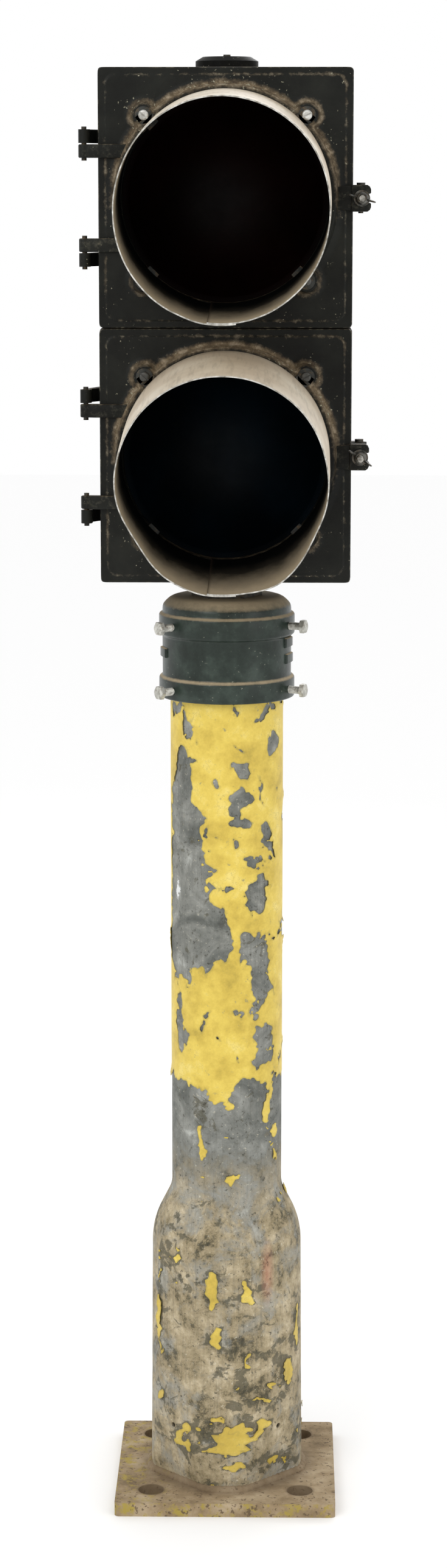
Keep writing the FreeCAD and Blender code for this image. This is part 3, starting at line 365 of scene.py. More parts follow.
def post_bare():
    """Bare post: grey primer in 42 mm clouds with paler zinc showing; below the shoulder sandy
    dirt in 34 mm clouds, broken by dark scuffs in 20 mm patches; vertical streaks 2.5 mm wide
    and 45 mm long, dark pits and pale rubbed spots of 5 mm, near-black painted shade in the
    vent holes, a pink smear on the bell and a white dab on the tube."""
    material, tree, shader, place = new_finish("galvanised_tube_with_grey_primer", 0.68)
    axes = add(tree, "SeparateXYZ", {"Vector": place})
    blotch = add(tree, "TexNoise", {"Scale": 1000 / 42, "Detail": 9.0, "Roughness": 0.68,
                                    "Distortion": 0.5, "Vector": place})
    primer = add(tree, "ValToRGB", {"stops": [(0.3, "#4d4f4b"), (0.42, "#656762"),
                                    (0.52, "#7b7c76"), (0.62, "#8f908a"), (0.72, "#b4b6b0")],
                                    "Fac": blotch})
    grime = add(tree, "TexNoise", {"Scale": 1000 / 34, "Detail": 10.0, "Roughness": 0.76,
                                   "Distortion": 0.2, "Vector": place})
    dirt = add(tree, "ValToRGB", {"stops": [(0.35, "#3b3726"), (0.41, "#5f563f"),
                                  (0.445, "#8c7e60"), (0.52, "#a69778"), (0.6, "#bdae90"),
                                  (0.72, "#d9ceb4")], "Fac": grime})
    wobble = add(tree, "MapRange", {"range": (0, 1, -0.09, 0.09), "Value": blotch})
    level = add(tree, "Math", {"operation": "ADD", 0: axes.outputs["Z"], 1: wobble})
    dirty = add(tree, "MapRange", {"range": (0.375, 0.3, 0, 0.92), "Value": level})
    bared = add(tree, "MapRange", {"range": (0.5, 0.6, 1, 0.35), "Value": blotch})
    cover = add(tree, "Math", {"operation": "MULTIPLY", 0: dirty, 1: bared})
    ground = add(tree, "MixRGB", {"Fac": cover, "Color1": primer, "Color2": dirt})
    patch = add(tree, "TexNoise", {"Scale": 1000 / 20, "Detail": 10.0, "Roughness": 0.72,
                                   "Distortion": 0.8, "Vector": place})
    scar = add(tree, "Attribute", {"attribute_name": "scar"})
    nearer = add(tree, "MapRange", {"range": (0, 1, 0, 0.17), "Value": scar.outputs["Fac"]})
    torn = add(tree, "Math", {"operation": "ADD", 0: patch, 1: nearer})
    scuff = add(tree, "MapRange", {"range": (0.585, 0.64, 0, 0.78), "Value": torn})
    scuffed = add(tree, "MixRGB", {"Color2": "#504d3e", "Fac": scuff, "Color1": ground})
    stretch = add(tree, "Mapping", {"Scale": (1000 / 2.5, 1000 / 2.5, 1000 / 45), "Vector": place})
    fine = add(tree, "TexNoise", {"Scale": 1.0, "Detail": 5.0, "Roughness": 0.7, "Vector": stretch})
    streaks = add(tree, "MapRange", {"range": (0.5, 0.75, 0, 0.45), "Value": fine})
    streaked = add(tree, "MixRGB", {"Color2": "#4c4b43", "Fac": streaks, "Color1": scuffed})
    smear_at = add(tree, "Mapping", {"Location": (-4.8, 2.5, -5.5),
                                     "Scale": (1000 / 9, 1000 / 26, 1000 / 45), "Vector": place})
    smear = add(tree, "TexGradient", {"gradient_type": "SPHERICAL", "Vector": smear_at})
    pink = add(tree, "MapRange", {"range": (0.1, 0.9, 0, 0.4), "Value": smear.outputs["Fac"]})
    smeared = add(tree, "MixRGB", {"Color2": "#b8705c", "Fac": pink, "Color1": streaked})
    dots = add(tree, "TexNoise", {"Scale": 1000 / 5, "Detail": 5.0, "Roughness": 0.8,
                                  "Vector": place})
    pits = add(tree, "MapRange", {"range": (0.585, 0.64, 0, 0.8), "Value": dots})
    speckled = add(tree, "MixRGB", {"Color2": "#38362d", "Fac": pits, "Color1": smeared})
    pale = add(tree, "MapRange", {"range": (0.39, 0.33, 0, 0.6), "Value": dots})
    rubbed = add(tree, "MixRGB", {"Color2": "#cdc7b4", "Fac": pale, "Color1": speckled})
    # Painted shade: inside each shallow vent dent the colour turns near-black, standing for the
    # shade in the hole.
    vent = add(tree, "Attribute", {"attribute_name": "vent"})
    vent_painted_shade = add(tree, "MixRGB", {"Color2": "#0d0c09", "Fac": vent.outputs["Fac"],
                                   "Color1": rubbed})
    dab_at = add(tree, "Mapping", {"Location": (7.07, 4.08, -46.1),
                                   "Scale": (1000 / 7, 1000 / 7, 1000 / 14), "Vector": place})
    dab = add(tree, "TexGradient", {"gradient_type": "SPHERICAL", "Vector": dab_at})
    frayed = add(tree, "MapRange", {"range": (0.35, 0.65, -0.5, 0.35), "Value": dots})
    broken = add(tree, "Math", {"operation": "ADD", 0: dab.outputs["Fac"], 1: frayed})
    white = add(tree, "MapRange", {"range": (0.42, 0.5, 0, 0.9), "Value": broken})
    dabbed = add(tree, "MixRGB", {"Color2": "#dcdedd", "Fac": white, "Color1": vent_painted_shade})
    relief = add(tree, "Bump", {"Strength": 0.45, "Distance": 0.0006, "Height": patch})
    pitted = add(tree, "Bump", {"Strength": 0.3, "Distance": 0.0005, "Height": dots,
                                "Normal": relief})
    wire(shader, {"Specular IOR Level": 0.25, "Base Color": dabbed, "Normal": pitted})
    return material


def post_rows():
    """Heights of the post's rings: 6 mm apart on the tube, 2.4 mm in the bell and 0.7 mm at
    the vents."""
    near_vent = np.arange(VENT_Z - 5, VENT_Z + 5, 0.7)
    bell = np.arange(FOOT_Z, SHOULDER_END, 2.4)
    tube = np.arange(SHOULDER_END, POST_TOP, 6.0)
    bell = bell[np.abs(bell - VENT_Z) > 5.2]
    return np.sort(np.concatenate([bell, near_vent, tube, [POST_TOP]]))


def post_turns():
    """Where the post's columns stand, in turns: even, and closer at the four vent corners."""
    even = np.arange(0, 1, 1 / 176)
    corners = (np.arange(4) + 0.5) / 4
    near = (corners[:, None] + np.arange(-7, 8)[None, :] * 0.0014).ravel()
    even = even[np.min(np.abs(even[:, None] - corners[None, :]), axis=1) > 0.0115]
    return np.sort(np.concatenate([even, near]))


def post_tube():
    """The post's outer skin, and its bore as four more rings."""
    z, turn = post_rows()[:, None], post_turns()[None, :]
    radius = post_radius(turn + 0 * z, z + 0 * turn)
    bore_z = np.array([POST_TOP, SHOULDER_END, 250.0, FOOT_Z])[:, None]
    bore_r = np.array([POST_BORE, POST_BORE, BELL_R - 11, FOOT_R - 17])[:, None]
    radius = np.concatenate([radius, bore_r + 0 * turn])
    height = np.concatenate([z + 0 * turn, bore_z + 0 * turn])
    angle = 2 * math.pi * turn
    points = np.stack([radius * np.cos(angle), radius * np.sin(angle), height], axis=-1)
    return points, ring_faces(points.shape[0], points.shape[1], close_rows=True)


POST_FINISH = post_bare()

# ---- yellow paint ----------------------------------------------------------------------
# Thick old alkyd paint, peeling off the primer in plates whose edges curl away from the
# steel. It is a skin 0.4 mm thick, cut where the paint has gone, so its edges cast shadows.
PAINT_THICK = 0.4
PAINT_CURL = 1.5
PAINT_TOP = 841.5
PAINT_FOOT = 16.0
PAINT_STEP = 2.1
PAINT_MEAN_R = 66.0
# Lost patches (negative) and kept ones: place round the front in mm, height, half width,
# half height, strength.
PAINT_PATCHES = [
    (-41, 822, 7, 14, -2.4), (-52, 745, 17, 62, -2.8), (-46, 690, 23, 70, -2.6),
    (-66, 640, 12, 70, -1.8),
    (-38, 592, 45, 46, -3.0), (33, 566, 18, 36, -3.0), (10, 582, 5, 26, 2.4), (17, 778, 9, 9, -2.6),
    (20, 748, 8, 12, -2.4), (39, 757, 3, 15, -3.0), (54, 802, 9, 15, -3.2), (48, 710, 8, 19, -3.0),
    (21, 716, 9, 5, -2.9), (29, 676, 8, 6, -2.3), (29, 640, 11, 17, -2.5), (-32, 780, 6, 7, -2.2),
    (2, 654, 8, 3, -2.0), (39, 828, 8, 6, -3.0), (-21, 510, 6, 13, -2.2), (35, 468, 10, 11, -2.8),
    (15, 471, 4, 8, -2.6), (44, 492, 5, 8, -2.6), (-56, 500, 6, 30, -2.4), (-7, 758, 7, 4, -2.7),
    (62, 745, 4, 40, -1.4), (2, 432, 20, 20, 2.6), (-40, 450, 30, 12, 1.6), (48, 420, 8, 26, 3.2),
    (57, 372, 5, 28, 3.2), (-25, 382, 5, 28, 3.0), (0, 399, 7, 4, 2.6), (5, 341, 13, 4, 2.7),
    (-22, 343, 6, 6, 2.6), (3, 308, 8, 11, 2.4), (-53, 261, 5, 9, 2.7), (-86, 190, 5, 74, 3.2),
    (-15, 226, 6, 22, 3.0), (-6, 182, 6, 14, 2.7), (20, 238, 5, 9, 2.7), (23, 224, 6, 6, 2.7),
    (20, 203, 13, 7, 2.7), (25, 155, 4, 9, 2.6), (50, 124, 14, 3, 2.7), (40, 112, 12, 3, 2.5),
    (78, 133, 6, 15, 2.7), (92, 176, 5, 26, 2.6), (-82, 108, 7, 9, 2.7), (-9, 92, 7, 5, 2.7),
    (4, 74, 24, 9, 3.1), (-2, 58, 22, 8, 3.0), (10, 35, 17, 7, 3.0), (40, 86, 8, 7, 2.8),
    (28, 74, 15, 6, 2.8), (-90, 640, 12, 240, 1.0), (150, 640, 50, 120, -2.2),
    (-150, 540, 40, 60, -2.2), (120, 740, 22, 40, -2.3), (-130, 760, 26, 34, -2.2),
    (160, 230, 40, 50, 2.4), (-160, 140, 30, 40, 2.5),
    (13, 797, 4, 5, -2.5), (15, 522, 9, 7, -2.6), (-7, 498, 4, 4, -2.6), (-44, 493, 4, 7, -2.4),
    (-52, 838, 9, 6, -3.0), (-20, 840, 6, 4, -2.8), (13, 838, 7, 5, -2.8), (52, 837, 9, 5, -2.8)]


def paint_left(turn, z):
    """How firmly paint holds at a place: above zero it is still there. A trend with height
    and the listed soft patches, all shifted sideways and up by 3 to 20 mm noise so that
    their outlines break up, and ragged noise from 40 mm down to 3 mm."""
    girth = 2 * math.pi * POST_R
    across = 4.5 * fractal(turn, z, girth, 22.0, 31, 4, 0.75)
    upward = 6.0 * fractal(turn, z, girth, 22.0, 41, 4, 0.75)
    place = (np.mod(turn - 0.75 + 0.5, 1.0) - 0.5) * 2 * math.pi * shoulder_radius(z) + across
    level = z + upward
    hold = 1.35 - 3.6 * smooth_step(458, 430, level)
    for x, height, half_width, half_height, strength in PAINT_PATCHES:
        far = ((place - x) / half_width) ** 2 + ((level - height) / half_height) ** 2
        hold = hold + strength * np.exp(-far ** 1.5)
    raggedness = 1.15 + 0.5 * smooth_step(360, 300, z)
    return hold + raggedness * fractal(turn, z, girth, 40.0, 21, 5, 0.7)


def cut_cells(value):
    """The part of a grid of values that is above zero, as polygons: whole cells, and cells
    cut across where the value crosses zero. Gives grid positions (row, column) and faces.
    The columns wrap round."""
    rows, columns = value.shape
    row, column = np.meshgrid(np.arange(rows), np.arange(columns), indexing="ij")
    beside = np.roll(value, -1, axis=1)
    right = np.clip(value / np.where(value == beside, 1, value - beside), 0.03, 0.97)
    above = np.vstack([value[1:], value[-1:] - 1])
    up = np.clip(value / np.where(value == above, 1, value - above), 0.03, 0.97)
    spots = np.concatenate([np.stack([row, column], -1).reshape(-1, 2),
                            np.stack([row, column + right], -1).reshape(-1, 2),
                            np.stack([row + up, column], -1).reshape(-1, 2)])
    count = rows * columns
    i, j = row[:-1], column[:-1]
    k = (j + 1) % columns
    corner = [i * columns + j, i * columns + k, (i + 1) * columns + k, (i + 1) * columns + j]
    side = [count + i * columns + j, 2 * count + i * columns + k,
            count + (i + 1) * columns + j, 2 * count + i * columns + j]
    inside = value > 0
    held = [inside.ravel()[c] for c in corner]
    code = sum(h.astype(int) << n for n, h in enumerate(held))
    faces = []
    for case in range(1, 16):
        kept = [bool(case >> n & 1) for n in range(4)]
        outline = []
        for n in range(4):
            if kept[n]:
                outline.append(corner[n])
            if kept[n] != kept[(n + 1) % 4]:
                outline.append(side[n])
        cells = code == case
        faces.append(np.stack([o[cells] for o in outline], axis=-1))
    return spots, faces


def paint_skin():
    """Polygons of the kept paint, laid on the post. The outer face stands off the steel by
    the paint's thickness and rises near an edge where the paint curls; each edge is closed."""
    girth = 2 * math.pi * PAINT_MEAN_R
    columns = round(girth / PAINT_STEP)
    z = np.arange(PAINT_FOOT, PAINT_TOP, PAINT_STEP)
    turn = np.arange(columns) / columns
    value = paint_left(turn[None, :] + 0 * z[:, None], z[:, None] + 0 * turn[None, :])
    value[0], value[-1] = np.minimum(value[0], -0.01), np.minimum(value[-1], -0.01)
    spots, faces = cut_cells(value)
    used = np.unique(np.concatenate([np.ravel(f) for f in faces]))
    renumber = np.full(len(spots), -1)
    renumber[used] = np.arange(len(used))
    faces = [renumber[f] for f in faces]
    spots = spots[used]
    spot_z = PAINT_FOOT + spots[:, 0] * PAINT_STEP
    spot_turn = spots[:, 1] / columns
    spot_value = paint_left(spot_turn, spot_z)
    slope = np.hypot(*np.gradient(value, PAINT_STEP)) + 0.01
    near = np.minimum(spots[:, 0].astype(int), len(z) - 1), spots[:, 1].astype(int) % columns
    inward = np.clip(spot_value, 0, None) / slope[near]
    loose = smooth_step(0.0, 0.7, noise(spot_turn, spot_z, 14, 24.0, 77))
    calm = smooth_step(PAINT_TOP, PAINT_TOP - 8, spot_z)
    lift = PAINT_CURL * loose * calm * np.exp(-inward / 2.6)
    base = np.maximum(post_radius(spot_turn, spot_z), shoulder_radius(spot_z) - FLAT_DEPTH)
    angle = 2 * math.pi * spot_turn
    shell = []
    for offset in (PAINT_THICK + lift, 0.02 + lift * 0.85):
        radius = base + offset
        shell.append(np.stack([radius * np.cos(angle), radius * np.sin(angle), spot_z], axis=-1))
    return shell, faces, inward


def closed_skin(shell, faces):
    """Outer polygons, the inner ones turned over, and a quad along every open edge."""
    count = len(shell[0])
    inner = [f[:, ::-1] + count for f in faces]
    starts = np.concatenate([f.ravel() for f in faces]).astype(np.int64)
    ends = np.concatenate([np.roll(f, -1, axis=1).ravel() for f in faces]).astype(np.int64)
    open_edge = ~np.isin(ends * count + starts, starts * count + ends)
    a, b = starts[open_edge], ends[open_edge]
    return np.concatenate(shell), faces + inner + [np.stack([b, a, a + count, b + count], axis=-1)]


def yellow_paint():
    """Faded road yellow: 34 mm cloudy fading, a greenish olive painted shadow towards broken
    edges, 7 mm worn spots, and hair cracks as the borders of 10 mm cells, drawn a little wide
    so that they show."""
    material, tree, shader, place = new_finish("peeling_yellow_alkyd_paint", 0.5)
    cloud = add(tree, "TexNoise", {"Scale": 1000 / 34, "Detail": 9.0, "Roughness": 0.7,
                                   "Vector": place})
    base = add(tree, "ValToRGB", {"stops": [(0.3, "#ac9536"), (0.42, "#c6ab42"), (0.56, "#dac052"),
                                  (0.72, "#e6d27a")], "Fac": cloud})
    edge = add(tree, "Attribute", {"attribute_name": "inward"})
    # Painted shadow: within about 2 mm of a broken edge the paint turns olive, standing for the
    # shadow of the curled edge.
    rim = add(tree, "MapRange", {"range": (2.2, 0, 0, 0.55), "Value": edge.outputs["Fac"]})
    edge_painted_shadow = add(tree, "MixRGB", {"Color2": "#8d8140", "Fac": rim, "Color1": base})
    axes = add(tree, "SeparateXYZ", {"Vector": place})
    low = add(tree, "MapRange", {"range": (0.3, 0.05, 0, 0.35), "Value": axes.outputs["Z"]})
    soiled = add(tree, "MixRGB", {"Color2": "#a08436", "Fac": low, "Color1": edge_painted_shadow})
    spots = add(tree, "TexNoise", {"Scale": 1000 / 7, "Detail": 5.0, "Roughness": 0.75,
                                   "Vector": place})
    worn = add(tree, "MapRange", {"range": (0.62, 0.7, 0, 0.75), "Value": spots})
    spotted = add(tree, "MixRGB", {"Color2": "#85815f", "Fac": worn, "Color1": soiled})
    warp = add(tree, "MixRGB", {"Fac": 0.02, "Color1": place, "Color2": spots.outputs["Color"]})
    cells = add(tree, "TexVoronoi", {"feature": "DISTANCE_TO_EDGE", "Scale": 1000 / 10,
                                     "Vector": warp})
    crack = add(tree, "MapRange", {"range": (0.03, 0, 0, 0.55), "Value": cells.outputs["Distance"]})
    some = add(tree, "MapRange", {"range": (0.52, 0.62), "Value": cloud})
    cracks = add(tree, "Math", {"operation": "MULTIPLY", 0: crack, 1: some})
    cracked = add(tree, "MixRGB", {"Color2": "#6f6330", "Fac": cracks, "Color1": spotted})
    bump = add(tree, "Bump", {"Strength": 0.4, "Distance": 0.0007, "Height": spots})
    wire(shader, {"Base Color": cracked, "Normal": bump})
    return material


def post_marks(points):
    """For each point of the post: scar, which rises where paint nearly holds on the bell, and
    vent, which is 1 inside a vent hole, where the finish paints the hole's shade."""
    x, y, z = np.moveaxis(points, -1, 0)
    turn = np.arctan2(y, x) / (2 * math.pi)
    scar = smooth_step(-1.5, -0.4, paint_left(turn, z)) * smooth_step(330, 290, z)
    from_corner = np.mod(2 * math.pi * turn, math.pi / 2) - math.pi / 4
    across = np.hypot(FOOT_R * from_corner, z - VENT_Z)
    return {"scar": scar, "vent": smooth_step(VENT_R + 0.9, VENT_R - 0.4, across)}


tube_points, tube_quads = post_tube()
build("post_tube", [(tube_points, tube_quads)], [POST_FINISH], "post", ["post_shaft"],
      marks=post_marks(tube_points))
skin_shell, skin_faces, skin_inward = paint_skin()
build("post_yellow_paint", [closed_skin(skin_shell, skin_faces)], [yellow_paint()], "post",
      ["post_shaft"], marks={"inward": np.tile(skin_inward, 2)})

# ---- foot weld -------------------------------------------------------------------------
# One fillet bead round the bell, run by hand, so it swells and dips every 7 mm or so, and
# packed over with the same sandy dirt as the bell.
WELD_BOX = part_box("foot_weld")
WELD_TOP = WELD_BOX[1][2] / MM - FOOT_Z
WELD_RIPPLE = 7.0


def weld_bead():
    """A profile of nine steps from the post down to the plate, carried round the foot: each
    point stands w out and h up from the root, on w² + h² = leg² flattened a little, and the
    leg shrinks by up to 14 percent between the ripples."""
    columns = 256
    turn = np.arange(columns)[None, :] / columns
    quarter = np.linspace(0, math.pi / 2, 9)[:, None]
    beads = round(2 * math.pi * FOOT_R / WELD_RIPPLE)
    ripple = np.cos(2 * math.pi * beads * turn + 0.4 * noise(turn, 0 * turn, 20, 10.0, 8))
    leg = (WELD_TOP - 0.7) * (0.93 + 0.07 * ripple)
    out = leg * np.sin(quarter) ** 1.25
    up = leg * np.cos(quarter) ** 1.25
    rise = FOOT_Z + up
    radius = post_radius(turn + 0 * up, rise) + out * 0.97
    under = np.concatenate([rise, 0 * turn + FOOT_Z - 0.5, 0 * turn + FOOT_Z - 0.5])
    radius = np.concatenate([radius, radius[-1:], radius[:1] * 0 + FOOT_R - 16])
    under = np.concatenate([under, 0 * turn + FOOT_Z + WELD_TOP - 2.0])
    radius = np.concatenate([radius, radius[-1:]])
    angle = 2 * math.pi * turn
    points = np.stack([radius * np.cos(angle), radius * np.sin(angle), under], axis=-1)
    return points[::-1], ring_faces(points.shape[0], columns, close_rows=True)


build("foot_weld_bead", [weld_bead()], [PLATE_FINISH], "post", ["foot_weld"])

# ---- slip collar -----------------------------------------------------------------------
# A cast iron collar that slips over the post and carries the head. Two turned bands with
# beaded edges hold three square-headed pads' worth of set screws, and the domed top is
# thick with settled dust. Gloss green-black enamel.
COLLAR_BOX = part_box("slip_collar")
COLLAR_FOOT = COLLAR_BOX[0][2] / MM
COLLAR_TOP = COLLAR_BOX[1][2] / MM
BAND_R = 69.5
COLLAR_R = 65.5
COLLAR_BORE = 58.75
NIPPLE_R = 24.15
SCREW_ANGLES = (-52.0, 67.0, 188.0)
SCREW_LEVELS = (917.0, 852.0)


def rounded(corners, radius, steps=4):
    """A closed outline with every corner turned by an arc: each corner's arc bows from one
    tangent point to the next as t² and (1 - t)² shares of the sides."""
    corners = np.asarray(corners, float)
    radius = np.broadcast_to(radius, len(corners))
    before, after = np.roll(corners, 1, axis=0) - corners, np.roll(corners, -1, axis=0) - corners
    reach_in, reach_out = np.linalg.norm(before, axis=1), np.linalg.norm(after, axis=1)
    cut = np.minimum(radius, 0.49 * np.minimum(reach_in, reach_out))[:, None]
    start = corners + before / reach_in[:, None] * cut
    end = corners + after / reach_out[:, None] * cut
    t = np.linspace(0, 1, steps)[None, :, None]
    arcs = ((1 - t) ** 2 * start[:, None] + 2 * t * (1 - t) * corners[:, None]
            + t ** 2 * end[:, None])
    return arcs.reshape(-1, 2)


def collar_bumps(turn, height):
    """Change of the radius: half a millimetre in all over, made up again on a boss 18 mm
    across round each set screw, and cast waviness of 0.12 mm below the dome's top."""
    angle = 360 * turn
    added = 0.12 * noise(turn, height - 800, 14, 20.0, 12)
    for level in SCREW_LEVELS:
        for screw in SCREW_ANGLES:
            aside = (np.mod(angle - (270 + screw) + 180, 360) - 180) * math.pi / 180 * BAND_R
            far = np.hypot(aside, height - level)
            added = added + 0.5 * smooth_step(9, 6, far)
    return np.where(height > COLLAR_TOP - 5, 0, np.minimum(added, 0.5)) - 0.5


def collar_shell():
    """The collar's closed profile, outside up, over the dome and down the bore."""
    low, high = COLLAR_FOOT, COLLAR_TOP
    outline = [(COLLAR_BORE, low), (BAND_R, low), (BAND_R, low + 20), (COLLAR_R + 0.5, low + 22),
               (COLLAR_R + 0.5, high - 40), (BAND_R, high - 38), (BAND_R, high - 18.2),
               (COLLAR_R + 0.5, high - 16.5), (COLLAR_R + 0.5, high - 9),
               (COLLAR_R - 9, high), (NIPPLE_R + 0.4, high), (NIPPLE_R + 0.4, high - 12),
               (COLLAR_BORE, high - 12)]
    soft = [1.5, 2.0, 2.4, 2.0, 2.0, 2.4, 2.4, 2.0, 6.5, 6.5, 0.4, 1.0, 3.0]
    return lathe(rounded(outline, soft, 5), 192, collar_bumps)


def collar_enamel():
    """Gloss green-black enamel over cast iron, with 24 mm cloudy fading, dust that lies with
    a 9 mm ragged edge on whatever faces up, and pale chips in 3 mm spots."""
    material, tree, shader, place = new_finish("green_black_gloss_enamel_on_cast_iron", 0.3)
    cloud = add(tree, "TexNoise", {"Scale": 1000 / 24, "Detail": 6.0, "Roughness": 0.65,
                                   "Vector": place})
    base = add(tree, "ValToRGB", {"stops": [(0.35, "#18211b"), (0.5, "#222c26"), (0.68, "#343f38")],
                                  "Fac": cloud})
    facing = add(tree, "NewGeometry")
    lean = add(tree, "SeparateXYZ", {"Vector": facing.outputs["Normal"]})
    ragged = add(tree, "TexNoise", {"Scale": 1000 / 9, "Detail": 6.0, "Roughness": 0.75,
                                    "Vector": place})
    shift = add(tree, "MapRange", {"range": (0, 1, -0.3, 0.3), "Value": ragged})
    slope = add(tree, "Math", {"operation": "ADD", 0: lean.outputs["Z"], 1: shift})
    dusty = add(tree, "MapRange", {"range": (0.3, 0.85, 0, 0.88), "Value": slope})
    dust = add(tree, "MixRGB", {"Color2": "#b3a285", "Fac": dusty, "Color1": base})
    chips = add(tree, "TexNoise", {"Scale": 1000 / 3, "Detail": 3.0, "Roughness": 0.6,
                                   "Vector": place})
    pale = add(tree, "MapRange", {"range": (0.69, 0.73, 0, 0.7), "Value": chips})
    chipped = add(tree, "MixRGB", {"Color2": "#8f8f80", "Fac": pale, "Color1": dust})
    dull = add(tree, "MapRange", {"range": (0, 1, 0.3, 0.92), "Value": dusty})
    bump = add(tree, "Bump", {"Strength": 0.3, "Distance": 0.0006, "Height": ragged})
    wire(shader, {"Specular IOR Level": 0.3, "Base Color": chipped, "Roughness": dull,
                  "Normal": bump})
    return material


COLLAR_FINISH = collar_enamel()


def collar_pads():
    """Three plain raised pads on the body between the bands, 2 mm proud: a patch of the
    body's surface pushed out with its edge rounded over, closed behind."""
    parts = []
    for aside, below_top in ((73.0, 45.6), (75.0, 62.0), (-76.0, 56.5)):
        u, v = np.linspace(-1, 1, 25)[None, :], np.linspace(-1, 1, 13)[:, None]
        sides = np.minimum(1, ((1 - np.abs(u)) * 15) ** 0.6)
        edge = sides * np.minimum(1, ((1 - np.abs(v)) * 7) ** 0.6)
        angle = np.radians(270 + aside + 9.5 * u) + 0 * v
        radius = COLLAR_R - 0.4 + 2.6 * edge
        height = COLLAR_TOP - below_top + 5.2 * v + 0 * u
        front = np.stack([radius * np.cos(angle), radius * np.sin(angle), height], axis=-1)
        back = front * [0.97, 0.97, 1]
        parts.append(closed_sheet(front, back))
    return parts


def sheet_faces(rows, columns):
    """Quads of an open grid."""
    row, column = np.arange(rows - 1)[:, None], np.arange(columns - 1)[None, :]
    first = row * columns + column
    quads = np.stack([first, first + 1, first + columns + 1, first + columns], axis=-1)
    return quads.reshape(-1, 4)


def closed_sheet(front, back):
    """Two facing grids of points joined along every open edge."""
    return closed_skin([front.reshape(-1, 3), back.reshape(-1, 3)], [sheet_faces(*front.shape[:2])])


build("collar_casting", [collar_shell()], [COLLAR_FINISH], "head", ["slip_collar"])
build("collar_pads", collar_pads(), [COLLAR_FINISH], "head", ["slip_collar"])

# ---- collar set screws -----------------------------------------------------------------
# Zinc-plated hexagon-head screws, 8 mm thread at 1.25 mm pitch, three to a band. Each has a
# chamfered head with a washer face and a real thread that runs into the collar.
SCREW_R = 3.97
SCREW_PITCH = 1.25
HEX_ACROSS = 12.7
HEAD_START = 81.5
HEAD_END = 87.0


def capped_rings(rows, columns):
    """Quads between rings, and the first and last ring filled in."""
    ring = np.arange(columns)
    return [ring_faces(rows, columns), np.stack([ring[::-1], ring + (rows - 1) * columns])]


def hex_head(low, high, across):
    """A hexagon head along the first axis, as rings: 48 points round on the hexagon, with the
    last 0.8 mm chamfered to the circle that the flats touch."""
    angle = 2 * math.pi * np.arange(48)[None, :] / 48
    flat = across / 2 / np.cos(np.mod(angle, math.pi / 3) - math.pi / 6)
    stations = np.array([low, low, low + 0.5, low + 0.5,
                         high - 0.8, high - 0.25, high, high])[:, None]
    full = np.array([0, 0, 0, 1, 1, 0.5, 0, 0])[:, None]
    circle = np.array([0.02, 0.9, 0.92, 1, 1, 0.985, 0.93, 0.02])[:, None] * across / 2
    radius = circle + (flat - across / 2) * full
    return np.stack([stations + 0 * angle, radius * np.cos(angle), radius * np.sin(angle)], axis=-1)


def thread(low, high, radius, pitch, columns=20):
    """A V thread along the first axis: the radius swings by 0.45 pitch with angle minus
    advance, and both ends close on the axis."""
    rows = int((high - low) / pitch * 6) + 1
    station = np.linspace(low, high, rows)[:, None]
    turn = np.arange(columns)[None, :] / columns
    phase = np.mod(station / pitch - turn, 1)
    depth = 0.42 * pitch * (1 - np.abs(2 * phase - 1)) ** 1.2
    run = radius - depth
    run = np.concatenate([run[:1] * 0.01, run, run[-1:] * 0.01])
    station = np.concatenate([station[:1], station, station[-1:]])
    angle = 2 * math.pi * turn
    return np.stack([station + 0 * angle, run * np.cos(angle), run * np.sin(angle)], axis=-1)


def dull_metal(name, dark, light, rust):
    """Small hardware gone dull, in plated steel or in brass as the two tones say: 6 mm
    mottling between them, with rust-brown dirt of the given strength in 3.5 mm spots."""
    material, tree, shader, place = new_finish(name, 0.42, 0.75)
    mottle = add(tree, "TexNoise", {"Scale": 1000 / 6, "Detail": 5.0, "Vector": place})
    base = add(tree, "ValToRGB", {"stops": [(0.35, dark), (0.65, light)], "Fac": mottle})
    spots = add(tree, "TexNoise", {"Scale": 1000 / 3.5, "Detail": 4.0, "Roughness": 0.7,
                                   "Vector": place})
    cut = add(tree, "MapRange", {"range": (0.5, 0.62, 0, rust), "Value": spots})
    stained = add(tree, "MixRGB", {"Color2": "#5d4d38", "Fac": cut, "Color1": base})
    rough = add(tree, "MapRange", {"range": (0, 1, 0.34, 0.6), "Value": mottle})
    bump = add(tree, "Bump", {"Strength": 0.2, "Distance": 0.0003, "Height": spots})
    wire(shader, {"Base Color": stained, "Roughness": rough, "Normal": bump})
    return material


ZINC_FINISH = dull_metal("dull_zinc_plated_screws", "#a5a49c", "#d6d5cd", 0.45)


def turned_out(points, angle, height):
    """Points with the first axis along the screw, laid along a radius of the post."""
    c, s = math.cos(math.radians(angle)), math.sin(math.radians(angle))
    x, y, z = np.moveaxis(points, -1, 0)
    return np.stack([x * c - y * s, x * s + y * c, z + height], axis=-1)


def set_screws(level):
    """Three screws round the collar at one height."""
    parts = []
    for aside in SCREW_ANGLES:
        for ring in (thread(POST_R, HEAD_START + 0.3, SCREW_R, SCREW_PITCH),
                     hex_head(HEAD_START, HEAD_END, HEX_ACROSS)):
            parts.append((turned_out(ring, 270 + aside, level), capped_rings(*ring.shape[:2])))
    return parts


for piece_name, screw_level in zip(("upper_set_screws", "lower_set_screws"), SCREW_LEVELS):
    build(piece_name + "_threaded", set_screws(screw_level), [ZINC_FINISH], "head",
          [piece_name])
